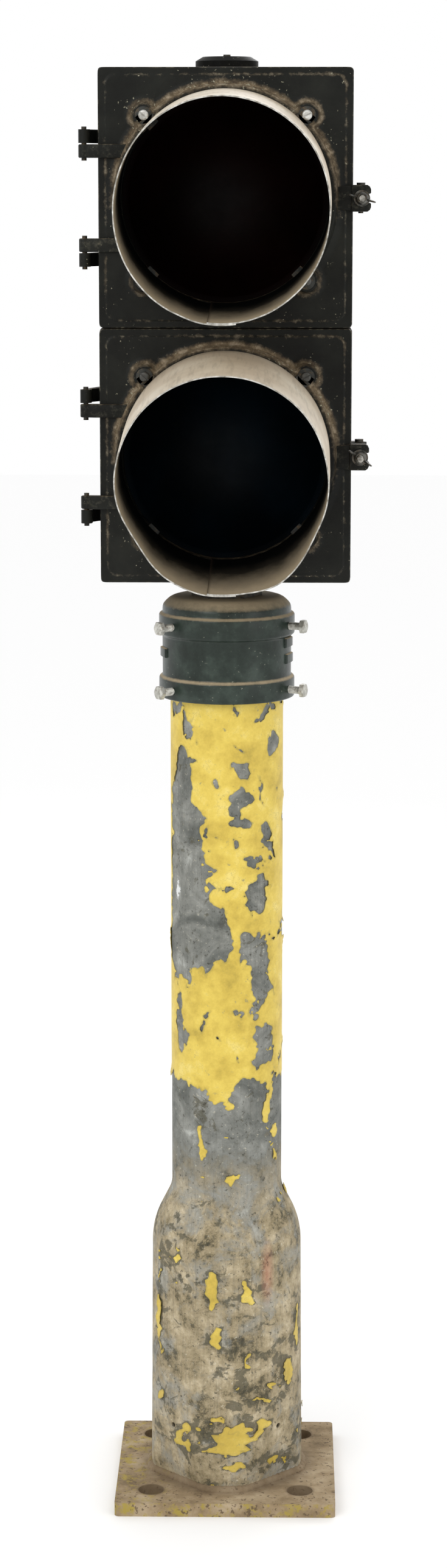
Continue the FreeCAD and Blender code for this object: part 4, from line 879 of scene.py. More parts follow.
# ---- doors -----------------------------------------------------------------------------
# Cast doors: a shallow tray with a raised panel, a lens ring with four ears for the visor,
# two hinge arms and a latch fork, all run together by soft casting fillets. Satin black-olive
# enamel, chipped in fine specks, with brown dust on every ledge.
SECTION_HALF = (123.5, 124.5)
OPENING_R = 100.0
RING_EDGE = 108.5
RING_FACE = -92.0
DOOR_FACE = -82.0
DOOR_BASE = -81.0
DOOR_INNER = -77.0
DOOR_BACK = -62.7
EAR_AT = 78.77
EAR_EDGE = 11.8
PANEL_INSET = 7.0
PANEL_CORNER = 10.0
HINGE = (-137.0, -80.0)
KNUCKLE_R = 5.5
ARM_LEVELS = (-44.9, 44.9)
ARM_HALF = 6.5
FORK_X = (121.5, 141.0)
FORK_BEND_R = 41.7
STUD_X = 132.0
STUD_PIVOT_Y = -46.0
SECTIONS = (("upper", 1341.5), ("lower", 1091.5))
CORNERS = ((-1, 1), (1, 1), (1, -1), (-1, -1))


def head_enamel():
    """Satin black-olive enamel on cast metal: 60 mm cloudy fading, pale specks of 2.6 mm in
    32 mm drifts, brown dust with an 8 mm ragged edge where a surface faces up or where the
    dust mark says it lies, and light metal worn through in 8 mm dashes along the edges that
    the wear mark gives."""
    material, tree, shader, place = new_finish("satin_black_olive_enamel_on_casting", 0.5)
    cloud = add(tree, "TexNoise", {"Scale": 1000 / 60, "Detail": 7.0, "Roughness": 0.6,
                                   "Vector": place})
    base = add(tree, "ValToRGB", {"stops": [(0.32, "#0f0f0d"), (0.5, "#161714"), (0.7, "#20211d")],
                                  "Fac": cloud})
    lean = add(tree, "SeparateXYZ", {"Vector": add(tree, "NewGeometry").outputs["Normal"]})
    up = add(tree, "MapRange", {"range": (0.35, 1, 0, 0.5), "Value": lean.outputs["Z"]})
    mark = add(tree, "Attribute", {"attribute_name": "dust"})
    both = add(tree, "Math", {"operation": "MAXIMUM", 0: up, 1: mark.outputs["Fac"]})
    ragged = add(tree, "TexNoise", {"Scale": 1000 / 8, "Detail": 7.0, "Roughness": 0.75,
                                    "Vector": place})
    shift = add(tree, "MapRange", {"range": (0.3, 0.7, -0.3, 0.22), "Value": ragged})
    amount = add(tree, "Math", {"operation": "ADD", 0: both, 1: shift})
    dusty = add(tree, "MapRange", {"range": (0.15, 0.95, 0, 0.85), "Value": amount})
    soil = add(tree, "ValToRGB", {"stops": [(0.35, "#524537"), (0.52, "#776852"),
                                  (0.68, "#a39580")], "Fac": ragged})
    dusted = add(tree, "MixRGB", {"Fac": dusty, "Color1": base, "Color2": soil})
    specks = add(tree, "TexNoise", {"Scale": 1000 / 2.6, "Detail": 2.0, "Roughness": 0.5,
                                    "Vector": place})
    drift = add(tree, "TexNoise", {"Scale": 1000 / 32, "Detail": 3.0, "Vector": place})
    density = add(tree, "MapRange", {"range": (0.4, 0.7, 0, 0.1), "Value": drift})
    crowd = add(tree, "MapRange", {"range": (0, 1, 0, 0.085), "Value": mark.outputs["Fac"]})
    denser = add(tree, "Math", {"operation": "ADD", 0: density, 1: crowd})
    speckle = add(tree, "Math", {"operation": "ADD", 0: specks, 1: denser})
    dots = add(tree, "MapRange", {"range": (0.775, 0.815, 0, 0.85), "Value": speckle})
    wear = add(tree, "Attribute", {"attribute_name": "wear"})
    dash = add(tree, "MapRange", {"range": (0.5, 0.66, 0, 0.45), "Value": ragged})
    worn = add(tree, "Math", {"operation": "MULTIPLY", 0: wear.outputs["Fac"], 1: dash})
    light = add(tree, "Math", {"operation": "MAXIMUM", 0: dots, 1: worn})
    chipped = add(tree, "MixRGB", {"Color2": "#96937f", "Fac": light, "Color1": dusted})
    dull = add(tree, "MapRange", {"range": (0, 1, 0.46, 0.9), "Value": dusty})
    grain = add(tree, "TexNoise", {"Scale": 1000 / 1.6, "Detail": 3.0, "Vector": place})
    bump = add(tree, "Bump", {"Strength": 0.25, "Distance": 0.0005, "Height": grain})
    wire(shader, {"Specular IOR Level": 0.13, "Base Color": chipped, "Roughness": dull,
                  "Normal": bump})
    return material


HEAD_FINISH = head_enamel()


def square_reach(angle, half_x, half_z):
    """How far out a rounded rectangle lies in a direction: the 80-norm of the direction over
    the half sizes, which rounds the corners by about 4 mm."""
    across, upward = np.abs(np.cos(angle) / half_x), np.abs(np.sin(angle) / half_z)
    return (across ** 80 + upward ** 80) ** (-1 / 80)


def door_front(x, z):
    """How far the casting stands out from its base, in mm: 1 for the panel inside its rounded
    step, and up to 11 for the ring and the ears. Each edge falls steeply and then trails off
    in a fillet, and overlapping shapes blend as 1 - (1 - a)(1 - b)."""
    beyond = np.stack([np.abs(x) - SECTION_HALF[0], np.abs(z) - SECTION_HALF[1]])
    beyond = beyond + PANEL_INSET + PANEL_CORNER
    step = np.hypot(*np.maximum(beyond, 0)) + np.minimum(np.max(beyond, axis=0), 0) - PANEL_CORNER
    radius = np.hypot(x, z)
    left = 0.8 * smooth_step(RING_EDGE + 1.3, RING_EDGE - 1.7, radius) + \
        0.2 * smooth_step(RING_EDGE + 9, RING_EDGE - 1.7, radius)
    for sx, sz in CORNERS:
        near = np.hypot(x - sx * EAR_AT, z - sz * EAR_AT)
        ear = 0.75 * smooth_step(EAR_EDGE + 1.3, EAR_EDGE - 1.5, near) + \
            0.25 * smooth_step(EAR_EDGE + 8, EAR_EDGE - 1.5, near)
        left = 1 - (1 - left) * (1 - ear)
    face = DOOR_BASE - DOOR_FACE
    return face * smooth_step(0.7, -0.7, step) + (DOOR_FACE - RING_FACE) * left, step, radius


def door_grid(centre, settled):
    """The door as rings of points: the bore, the front out to the rounded rectangle, the side
    wall, and the hollow back. Also each point's wear and dust, of which the given strength
    has settled along the ring."""
    columns = 640
    angle = 2 * math.pi * np.arange(columns)[None, :] / columns
    edge = square_reach(angle, *SECTION_HALF)
    circles = np.concatenate([[OPENING_R + 0.3, OPENING_R + 0.9],
                              np.arange(OPENING_R + 2, 121.0, 0.65)])
    spread = np.linspace(0, 1, 56)[1:, None]
    outer = circles[-1] + (edge - 1.3 - circles[-1]) * (1 - (1 - spread) ** 1.35)
    radius = np.concatenate([circles[:, None] + 0 * angle, outer])
    x, z = radius * np.cos(angle), radius * np.sin(angle)
    out, step, far = door_front(x, z)
    y = DOOR_BASE - out
    y[0] += 0.7
    worn = np.exp(-(step / 0.55) ** 2) * 0.6
    corner = np.max(np.abs([x, z]), axis=0) > 104
    dust = settled * np.exp(-((far - RING_EDGE - 0.6) / 4.2) ** 2) * smooth_step(-50, 60, z)
    for sx, sz in CORNERS:
        near = np.hypot(x - sx * EAR_AT, z - sz * EAR_AT)
        lies = 0.72 if sz > 0 else 0.4
        dust = np.maximum(dust, lies * np.exp(-((near - EAR_EDGE - 1.5) / 3.5) ** 2))
    drifts = 1 + 0.6 * noise(angle / (2 * math.pi) + 0 * x, 0 * x, 24, 9.0, 5)
    dust = np.maximum(dust, 0.27 * np.exp(-(step / 2.0) ** 2) * corner * drifts)
    dust = np.where(out > 10.7, dust * 0.75, dust)
    rims = [(edge - 0.35, DOOR_BASE + 0.4), (edge, DOOR_BASE + 1.4), (edge, DOOR_BACK - 6),
            (edge, DOOR_BACK), (edge - 4.0, DOOR_BACK), (edge - 4.0, DOOR_INNER),
            (OPENING_R + 0 * edge, DOOR_INNER), (OPENING_R + 0 * edge, RING_FACE + 1.2)]
    radius = np.concatenate([radius] + [r for r, _ in rims])
    depth = np.concatenate([y] + [0 * angle + level for _, level in rims])
    edge_wear = [0.9, 0.6, 0.1, 0, 0, 0, 0, 0]
    worn = np.concatenate([worn] + [0 * angle + w for w in edge_wear])
    dust = np.concatenate([dust] + [0 * angle + (0.25 if w else 0) for w in edge_wear])
    points = np.stack([radius * np.cos(angle), depth, centre + radius * np.sin(angle)], axis=-1)
    return (points, ring_faces(points.shape[0], columns, close_rows=True)[:, ::-1]), worn, dust


def arc(middle, radius, start, end, steps=10):
    """Points on an arc between two angles in degrees."""
    angle = np.radians(np.linspace(start, end, steps))
    return np.stack([middle[0] + radius * np.cos(angle),
                     middle[1] + radius * np.sin(angle)], axis=-1)


def bevelled(outline, low, high, bevel):
    """A closed flat outline, carried from low to high with both rims rounded: near each end
    the outline moves in along its normals as the quarter circle of the bevel does."""
    outline = np.asarray(outline, float)
    run = np.roll(outline, -1, axis=0) - outline
    keep = np.hypot(*run.T) > 1e-6
    outline = outline[keep]
    run = np.roll(outline, -1, axis=0) - outline
    unit = run / np.hypot(*run.T)[:, None]
    side = np.stack([-unit[:, 1], unit[:, 0]], axis=-1)
    inward = side + np.roll(side, 1, axis=0)
    inward = inward / np.maximum(np.hypot(*inward.T)[:, None] ** 2 / 2, 0.5)
    turn = np.radians([0, 30, 60, 90])
    inset = bevel * np.concatenate([1 - np.sin(turn), 1 - np.sin(turn[::-1])])
    level = np.concatenate([low + bevel * (1 - np.cos(turn)),
                            high - bevel * (1 - np.cos(turn[::-1]))])
    flat = outline[None] + inset[:, None, None] * inward[None]
    height = np.broadcast_to(level[:, None, None], flat.shape[:2] + (1,))
    points = np.concatenate([flat, height], axis=-1)
    return points, capped_rings(len(level), len(outline))


def counterclockwise(outline):
    """The outline turned round, if needed, so that its inside is on the left."""
    x, y = np.asarray(outline, float).T
    area = np.sum(x * np.roll(y, -1) - np.roll(x, -1) * y)
    return np.asarray(outline, float) if area > 0 else np.asarray(outline, float)[::-1]


def door_arms(centre):
    """Two ribs from the ring to the hinge, each ending in a knuckle round the hinge axis."""
    back_in, edge = DOOR_INNER - 1, -122.0
    front = [(-95, RING_FACE + 5.5), (-112, RING_FACE + 5.2), (edge, RING_FACE + 5), (-129, -86.6)]
    back = [(-126, -75.0), (edge, -75.6), (edge + 0.3, back_in), (-95, back_in)]
    outline = np.concatenate([front, arc(HINGE, KNUCKLE_R, -68, -270, 16), back])
    parts = []
    for level in ARM_LEVELS:
        low, high = centre + level - ARM_HALF, centre + level + ARM_HALF
        parts.append(bevelled(counterclockwise(outline), low, high, 1.3))
    return parts


def fork_lug(centre):
    """The latch fork: a lug with an open slot, its front bent to an arc about the stud's
    pivot, and a rib that ties it to the ring. Outlines are in x and height."""
    edge, tip = FORK_X
    half, slot, end = 12.8, 4.3, STUD_X - 1
    lower = [(edge, -half), (tip - 3.6, -half), (tip - 1.2, -half + 1.6), (tip, -half + 4.2),
             (tip, -slot - 0.9), (tip - 0.9, -slot)]
    upper = [(tip - 0.9, slot), (tip, slot + 0.9), (tip, half - 4.2), (tip - 1.2, half - 1.6),
             (tip - 3.6, half), (edge, half)]
    lug = np.concatenate([lower, arc((end, 0), slot, -90, -270, 12), upper])
    rib = np.array([(103.5, -10.6), (edge + 2.5, -half + 0.4),
                    (edge + 2.5, half - 0.4), (103.5, 10.6)])
    slotted_rib = rounded(rib, 1.5, 4)
    parts = []
    for outline, front, back in ((lug, -87.7, -75.0), (slotted_rib, -86.4, DOOR_INNER - 1)):
        points, faces = bevelled(counterclockwise(outline), -back, -front, 1.0)
        x, z, out = np.moveaxis(points, -1, 0)
        crown = FORK_BEND_R - np.sqrt(FORK_BEND_R ** 2 - np.clip(x - STUD_X, -14, 14) ** 2)
        y = -out + crown * smooth_step(-back, -front, out)
        parts.append((np.stack([x, y, z + centre], axis=-1), faces))
    return parts


for section, middle in SECTIONS:
    casting, wear_mark, dust_mark = door_grid(middle, {"upper": 1.0, "lower": 1.2}[section])
    extras = door_arms(middle) + fork_lug(middle)
    spare = sum(part[0].reshape(-1, 3).shape[0] for part in extras)
    build(section + "_door_casting", [casting] + extras, [HEAD_FINISH], section + "_door",
          [section + "_door"],
          marks={"wear": np.append(wear_mark, np.full(spare, 0.25)),
                 "dust": np.append(dust_mark, np.full(spare, 0.06))})

# ---- visors ----------------------------------------------------------------------------
# Tunnel hoods rolled from 1.2 mm sheet and lapped at the bottom, on four bent tabs. The road
# grey-beige paint is streaked outside; inside it fades to flat black paint, darkened further
# as painted shade deeper in the tunnel, and the cut edge is bare bright metal, nicked and ragged.
VISOR_R = 102.5
VISOR_SHEET = 1.2
VISOR_LENGTH = 192.0
VISOR_TILT = math.radians(3.75)
VISOR_RISE = 1.4
VISOR_LAP = 27.0
LAP_START = -14.0
TAB_R = 8.5
TAB_HOLE = 3.0
OUT_OF_ROUND = {"upper": [(90, 40, -2.4), (-90, 40, -2.4), (180, 55, 2.2), (45, 24, -0.6)],
                "lower": [(-57, 21, -6.8), (63, 15, -3.0), (30, 14, 3.6), (-95, 30, -1.6),
                          (95, 30, -2.6), (180, 50, 0.8)]}


def visor_sheet(centre, dents, seed):
    """The tunnel as an outer and an inner grid. Across: angle from the bottom, round through
    the right and back, over itself by the lap. Along: from the ring's face to the rim. The
    radius is pulled in or pushed out by each dent's bell curve, growing with the 1.6th power
    of the distance out, and the rim wanders by about a millimetre. Also each point's distance
    from the rim, and how near it is to one of the sheet's two lapped edges."""
    columns, rows = 420, 72
    start = LAP_START / VISOR_R
    angle = start + np.linspace(0, 2 * math.pi + VISOR_LAP / VISOR_R, columns)[None, :]
    along = (1 - (1 - np.linspace(0, 1, rows)) ** 1.6)[:, None]
    turn = angle / (2 * math.pi)
    rim = VISOR_LENGTH - 0.8 + 0.45 * noise(turn, 0 * turn, 90, 9.0, seed)
    rim = rim + 0.5 * noise(turn, 0 * turn, 22, 9.0, seed + 1)
    rim = np.minimum(rim, VISOR_LENGTH)
    over = smooth_step(2 * math.pi + start - 0.3, 2 * math.pi + start - 0.02, angle)
    out_of_round = 0.4 * noise(turn, 0 * turn, 9, 9.0, seed + 2) - 0.4
    for degrees, width, depth in dents:
        away = np.mod(np.degrees(angle) - degrees + 180, 360) - 180
        out_of_round = out_of_round + depth * np.exp(-(away / width) ** 2)
    middle = VISOR_R - 0.55 * VISOR_SHEET + 1.02 * VISOR_SHEET * over
    middle = middle + out_of_round * along ** 1.6
    middle = middle + 0.12 * noise(turn + 0 * along, along * 190, 30, 24.0, seed + 3)
    grids = []
    for side in (0.5, -0.5):
        radius = middle + side * VISOR_SHEET
        foot = radius * np.cos(angle) * math.tan(VISOR_TILT)
        reach = foot * (1 - along) + rim * along
        up = -radius * np.cos(angle)
        c, s = math.cos(VISOR_TILT), math.sin(VISOR_TILT)
        points = np.stack([radius * np.sin(angle), RING_FACE - reach * c - up * s,
                           centre + VISOR_RISE + up * c - reach * s], axis=-1)
        points[..., 1] = np.minimum(points[..., 1], RING_FACE)
        grids.append(points)
    inset = (rim * (1 - along)) + 0 * angle
    from_end = np.minimum(angle - angle.min(), angle.max() - angle) * VISOR_R
    seam = np.exp(-(from_end / 1.6) ** 2) + 0 * along
    return grids, inset, seam


def visor_tab(centre, corner, slot_turn):
    """One tab: a strap bent out from the sheet and a round eye, open at one side by a slot.
    Its outline is in x and height."""
    sx, sz = corner
    out = math.degrees(math.atan2(sz, sx))
    gap = out + slot_turn
    eye = np.concatenate([arc((0, 0), TAB_R, gap + 17, gap + 343, 40),
                          arc((0, 0), TAB_HOLE, gap + 318, gap + 42, 22)])
    strap = np.array([(-14.5, -6.2), (-4.5, -7.3), (-4.5, 7.3), (-14.5, 6.2)])
    c, s = math.cos(math.radians(out)), math.sin(math.radians(out))
    strap = np.stack([strap[:, 0] * c - strap[:, 1] * s,
                      strap[:, 0] * s + strap[:, 1] * c], axis=-1)
    parts = []
    for outline in (rounded(eye, 0.6, 3), strap):
        points, faces = bevelled(counterclockwise(outline), 0, VISOR_SHEET, 0.3)
        x, z, lift = np.moveaxis(points, -1, 0)
        placed = np.stack([x + sx * EAR_AT, RING_FACE - lift, z + centre + sz * EAR_AT], axis=-1)
        parts.append((placed, faces))
    return parts


def visor_outside():
    """Beige-grey enamel on sheet: 80 mm drifts of paler dust, brown streaks 4 mm wide and 60 mm
    long down the sheet, 4 mm scuffs, darker brown in the last 20 mm at the door, and bare metal
    in the last ragged millimetre at the rim."""
    material, tree, shader, place = new_finish("beige_grey_enamel_on_rolled_sheet", 0.5)
    drift = add(tree, "TexNoise", {"Scale": 1000 / 80, "Detail": 5.0, "Roughness": 0.55,
                                   "Vector": place})
    base = add(tree, "ValToRGB", {"stops": [(0.3, "#bdae98"), (0.45, "#c8baa5"), (0.6, "#d4c9b5"),
                                  (0.75, "#dad1c1")], "Fac": drift})
    stretch = add(tree, "Mapping", {"Scale": (1000 / 4, 1000 / 60, 1000 / 60), "Vector": place})
    fine = add(tree, "TexNoise", {"Scale": 1.0, "Detail": 4.0, "Roughness": 0.6, "Vector": stretch})
    run = add(tree, "MapRange", {"range": (0.5, 0.8, 0, 0.6), "Value": fine})
    streaked = add(tree, "MixRGB", {"Color2": "#8d8271", "Fac": run, "Color1": base})
    inset = add(tree, "Attribute", {"attribute_name": "inset"})
    root = add(tree, "MapRange", {"range": (0.172, 0.192, 0, 0.4), "Value": inset.outputs["Fac"]})
    rooted = add(tree, "MixRGB", {"Color2": "#6b5c49", "Fac": root, "Color1": streaked})
    nicks = add(tree, "TexNoise", {"Scale": 1000 / 4, "Detail": 4.0, "Roughness": 0.7,
                                   "Vector": place})
    ragged = add(tree, "MapRange", {"range": (0.38, 0.7, -0.001, 0.001), "Value": nicks})
    near = add(tree, "Math", {"operation": "LESS_THAN", 0: inset.outputs["Fac"], 1: ragged})
    bare = add(tree, "MixRGB", {"Color2": "#d2d0c9", "Fac": near, "Color1": rooted})
    scuffs = add(tree, "MapRange", {"range": (0.68, 0.74, 0, 0.5), "Value": nicks})
    scuffed = add(tree, "MixRGB", {"Color2": "#5d564a", "Fac": scuffs, "Color1": bare})
    bump = add(tree, "Bump", {"Strength": 0.25, "Distance": 0.0005, "Height": nicks})
    wire(shader, {"Base Color": scuffed, "Normal": bump})
    return material


def visor_inside():
    """The same sheet inside: beige for about 90 mm in from the rim, then a smeary fade through
    brown-grey to flat black, with smears 34 mm wide and 90 mm long. The fade is partly the flat
    black paint and partly painted shade deeper in the tunnel."""
    material, tree, shader, place = new_finish("flat_black_inside_sheet_with_painted_shade", 0.8)
    inset = add(tree, "Attribute", {"attribute_name": "inset"})
    stretch = add(tree, "Mapping", {"Scale": (1000 / 34, 1000 / 90, 1000 / 34), "Vector": place})
    smear = add(tree, "TexNoise", {"Scale": 1.0, "Detail": 6.0, "Roughness": 0.65,
                                   "Vector": stretch})
    shift = add(tree, "MapRange", {"range": (0.25, 0.75, -0.02, 0.02), "Value": smear})
    deep = add(tree, "Math", {"operation": "ADD", 0: inset.outputs["Fac"], 1: shift})
    # Painted shade, in part: the fade to near-black towards the door stands for the shade deep in
    # the tunnel as well as for the flat black paint.
    fade = add(tree, "MapRange", {"range": (0, 0.192), "Value": deep})
    base = add(tree, "ValToRGB", {"stops": [(0.08, "#a2937a"), (0.32, "#7f7461"), (0.56, "#2b2721"),
                                  (0.76, "#040404")], "Fac": fade})
    nicks = add(tree, "TexNoise", {"Scale": 1000 / 4, "Detail": 4.0, "Roughness": 0.7,
                                   "Vector": place})
    ragged = add(tree, "MapRange", {"range": (0.38, 0.7, -0.001, 0.001), "Value": nicks})
    near = add(tree, "Math", {"operation": "LESS_THAN", 0: inset.outputs["Fac"], 1: ragged})
    bare = add(tree, "MixRGB", {"Color2": "#c6c3bb", "Fac": near, "Color1": base})
    seam = add(tree, "Attribute", {"attribute_name": "seam"})
    shut = add(tree, "MapRange", {"range": (0, 1, 0, 0.85), "Value": seam.outputs["Fac"]})
    lapped = add(tree, "MixRGB", {"Color2": "#3a3026", "Fac": shut, "Color1": bare})
    bump = add(tree, "Bump", {"Strength": 0.2, "Distance": 0.0005, "Height": nicks})
    wire(shader, {"Specular IOR Level": 0.08, "Base Color": lapped, "Normal": bump})
    return material


VISOR_FINISHES = [visor_outside(), visor_inside(),
                  dull_metal("bare_cut_edge_of_sheet", "#8f8c83", "#d6d4cd", 0.35),
                  dull_metal("dark_bent_steel_tabs", "#232422", "#3c3d3a", 0.6)]

for section, middle in SECTIONS:
    (visor_skin, visor_lining), visor_inset, visor_seam = visor_sheet(
        middle, OUT_OF_ROUND[section], 61 if section == "upper" else 71)
    sheet_points, sheet_quads = closed_sheet(visor_skin, visor_lining)
    tabs = [part for corner, slot in zip(CORNERS, (80, -80, -100, 100))
            for part in visor_tab(middle, corner, slot)]
    paint_bands = [0] * len(sheet_quads[0]) + [1] * len(sheet_quads[1]) + [2] * len(sheet_quads[2])
    tab_faces = sum(len(f) for part in tabs for f in part[1])
    spare = sum(part[0].reshape(-1, 3).shape[0] for part in tabs)
    build(section + "_visor_tunnel", [(sheet_points, sheet_quads)] + tabs, VISOR_FINISHES,
          section + "_door", [section + "_visor"],
          bands=paint_bands + [3] * tab_faces,
          marks={"inset": np.append(np.tile(visor_inset.ravel(), 2) * MM, np.full(spare, 0.1)),
                 "seam": np.append(np.tile(visor_seam.ravel(), 2), np.zeros(spare))})

# ---- latches ---------------------------------------------------------------------------
# A swing stud on a pivot pin at the housing, with a washer and a two-winged nut in front of
# the door's fork. Steel, painted over with the head and rubbed bright at the edges and the
# stud's tip.
STUD_R = 3.1
STUD_TIP = -110.0
STUD_ROOT = -51.0
STUD_PITCH = 1.27
WASHER_FRONT = -89.6
WASHER_BACK = -88.0
WASHER_R = 8.0
WING_HALF = 13.6
WING_TILT = {"upper": 16.0, "lower": 34.0}


def stud_turned(centre):
    """Plain round eye about the pivot pin, and a shank threaded from the fork to the tip."""
    threaded = thread(-STUD_ROOT, -STUD_TIP - 0.6, STUD_R, STUD_PITCH)
    station, u, v = np.moveaxis(threaded, -1, 0)
    turned = np.stack([STUD_X + u, -station, centre + v], axis=-1)
    shank = (turned, capped_rings(*threaded.shape[:2]))
    outline = [(2.9, -3.9), (7.3, -3.9), (7.3, 3.9), (2.9, 3.9)]
    ring, quads = lathe(rounded(outline, 1.4, 5), 40)
    return [shank, (ring + [STUD_X, STUD_PIVOT_Y, centre], quads)]


def washer_plain(centre):
    """A punched washer: square profile with its edges rolled 0.4 mm, about the stud."""
    inner, outer = STUD_R + 0.35, WASHER_R
    profile = rounded([(inner, -WASHER_BACK), (outer, -WASHER_BACK), (outer, -WASHER_FRONT),
                       (inner, -WASHER_FRONT)], 0.4, 4)
    ring, quads = lathe(profile, 48)
    x, z, out = np.moveaxis(ring, -1, 0)
    return [(np.stack([STUD_X + x, -out, centre + z], axis=-1), quads)]


def wing_nut_cast(centre, tilt):
    """A round boss with a coned top, and two wings: thin leaves that lean out and forward,
    widest near their rounded ends. Each leaf is flattened rings, 1.25 mm thin either way at
    the boss and 0.9 mm at the tip, where the square root of 1 - v² rounds it off."""
    base = -WASHER_FRONT
    profile = rounded([(STUD_R + 0.25, base), (6.4, base), (6.2, base + 4.5), (4.6, base + 8.6),
                       (STUD_R + 0.25, base + 8.6)], [0.2, 0.9, 1.2, 1.0, 0.2], 5)
    boss, quads = lathe(profile, 40)
    parts = [(boss, quads)]
    for side in (1, -1):
        columns, rows = 28, 24
        turn = 2 * math.pi * np.arange(columns)[None, :] / columns
        along = np.linspace(0.0, 1.0, rows)[:, None]
        reach = 4.2 + (WING_HALF - 4.2) * along
        end = 1 - np.clip((along - 0.62) / 0.38, 0, 1) ** 2
        width = (2.6 + 1.9 * along) * np.sqrt(np.maximum(end, 0.0004))
        lift = base + 3.4 + 6.3 * along ** 1.3
        thick = 1.25 - 0.35 * along
        thick = thick * np.sqrt(np.maximum(1 - np.clip((along - 0.8) / 0.2, 0, 1) ** 2, 0.003))
        flat, edge = np.cos(turn), np.sin(turn)
        leaf = np.stack([side * (reach - 0.35 * width * flat), side * thick * edge,
                         np.minimum(lift + 0.9 * width * flat, -STUD_TIP - 8.2)], axis=-1)
        quads = capped_rings(rows, columns)
        parts.append((leaf, [f[:, ::-1] for f in quads]))
    c, s = math.cos(math.radians(-tilt)), math.sin(math.radians(-tilt))
    placed = []
    for points, faces in parts:
        x, z, out = np.moveaxis(points, -1, 0)
        turned = np.stack([STUD_X + x * c - z * s, -out, centre + x * s + z * c], axis=-1)
        placed.append((turned, faces))
    return placed


LATCH_BRASS = dull_metal("paint_rubbed_tarnished_latch_brass", "#262623", "#6a6963", 0.45)
STUD_BRASS = dull_metal("rubbed_bright_latch_stud_brass", "#55544e", "#c6c5bf", 0.45)
for section, middle in SECTIONS:
    build(section + "_stud_turned", stud_turned(middle), [STUD_BRASS], section + "_latch",
          [section + "_latch_stud"])
    build(section + "_washer_screwed", washer_plain(middle), [LATCH_BRASS],
          section + "_washer", [section + "_latch_washer"])
    build(section + "_wing_nut_cast", wing_nut_cast(middle, WING_TILT[section]), [LATCH_BRASS],
          section + "_nut", [section + "_wing_nut"])

# ---- lenses ----------------------------------------------------------------------------
# Pressed glass domes, 4 mm thick, smooth in front and cast behind in small diamond prisms
# that spread the beam. Deep red over deep green, nearly black unlit.
LENS_R = 105.0
LENS_OPEN_R = 95.0
LENS_APEX = -99.3
LENS_RIM_FRONT = -75.3
LENS_THICK = 4.0
PRISM_PITCH = 5.5


def lens_glass(centre):
    """Front: a sphere's cap over the opening, then a flat lip. Back: the same moved in by the
    thickness, less a relief of half a millimetre times |sin| waves along both diagonals."""
    columns = 360
    angle = 2 * math.pi * np.arange(columns)[None, :] / columns
    radius = np.concatenate([np.linspace(0.5, LENS_OPEN_R - 0.5, 96),
                             [LENS_OPEN_R + 0.5, LENS_R - 0.4, LENS_R]])[:, None]
    bulge = LENS_RIM_FRONT - LENS_APEX
    sphere = (LENS_OPEN_R ** 2 + bulge ** 2) / (2 * bulge)
    dome = LENS_APEX + sphere - np.sqrt(sphere ** 2 - np.minimum(radius, LENS_OPEN_R) ** 2)
    x, z = radius * np.cos(angle), radius * np.sin(angle)
    waves = (np.abs(np.sin(math.pi * (x + z) / PRISM_PITCH))
             + np.abs(np.sin(math.pi * (x - z) / PRISM_PITCH)))
    front = dome + 0 * angle
    front[-1] += 0.4
    back = dome + LENS_THICK - 0.5 * waves * smooth_step(LENS_OPEN_R - 1, LENS_OPEN_R - 6, radius)
    back[-1] -= 0.4
    depth = np.concatenate([front, back[::-1]])
    reach = np.concatenate([radius, radius[::-1]]) + 0 * angle
    points = np.stack([reach * np.cos(angle), depth, centre + reach * np.sin(angle)], axis=-1)
    return points, [f[:, ::-1] for f in capped_rings(points.shape[0], columns)]


def signal_glass(name, deep, tint):
    """Signal glass: almost black, with a faint tint in 90 mm clouds, a film of fine dust that
    blurs its gloss in 25 mm smears, and a lattice of 5.5 mm diamonds in the bump."""
    material, tree, shader, place = new_finish(name, 0.12)
    cloud = add(tree, "TexNoise", {"Scale": 1000 / 90, "Detail": 5.0, "Vector": place})
    base = add(tree, "ValToRGB", {"stops": [(0.4, deep), (0.75, tint)], "Fac": cloud})
    smears = add(tree, "TexNoise", {"Scale": 1000 / 25, "Detail": 6.0, "Roughness": 0.7,
                                    "Vector": place})
    dull = add(tree, "MapRange", {"range": (0.3, 0.8, 0.32, 0.55), "Value": smears})
    turned = add(tree, "Mapping", {"Rotation": (0, math.pi / 4, 0),
                                   "Scale": (1000 / 5.5, 0.0, 1000 / 5.5), "Vector": place})
    lattice = add(tree, "TexVoronoi", {"distance": "CHEBYCHEV", "Scale": 1.0, "Randomness": 0.0,
                                       "Vector": turned})
    bump = add(tree, "Bump", {"Strength": 0.12, "Distance": 0.0005,
                              "Height": lattice.outputs["Distance"]})
    wire(shader, {"IOR": 1.52, "Specular IOR Level": 0.05, "Base Color": base, "Roughness": dull,
                  "Normal": bump})
    return material


RED_GLASS = signal_glass("pressed_red_signal_glass", "#070201", "#140403")
GREEN_GLASS = signal_glass("pressed_green_signal_glass", "#03080c", "#08161f")
GLASSES = {"upper": ("red_glass", RED_GLASS), "lower": ("green_glass", GREEN_GLASS)}
for section, middle in SECTIONS:
    glass_slot, glass = GLASSES[section]
    build(section + "_lens_glass", [lens_glass(middle)], [glass], section + "_door",
          [section + "_lens"])

# ---- head castings, pins and small hardware --------------------------------------------
# The housings and cap are cast like the doors and share their enamel. Pins, studs and screws
# are turned steel or brass under old paint and dirt; the seals are black rubber.
dress(HEAD_FINISH, "upper_housing", "lower_housing", "closure_bar")


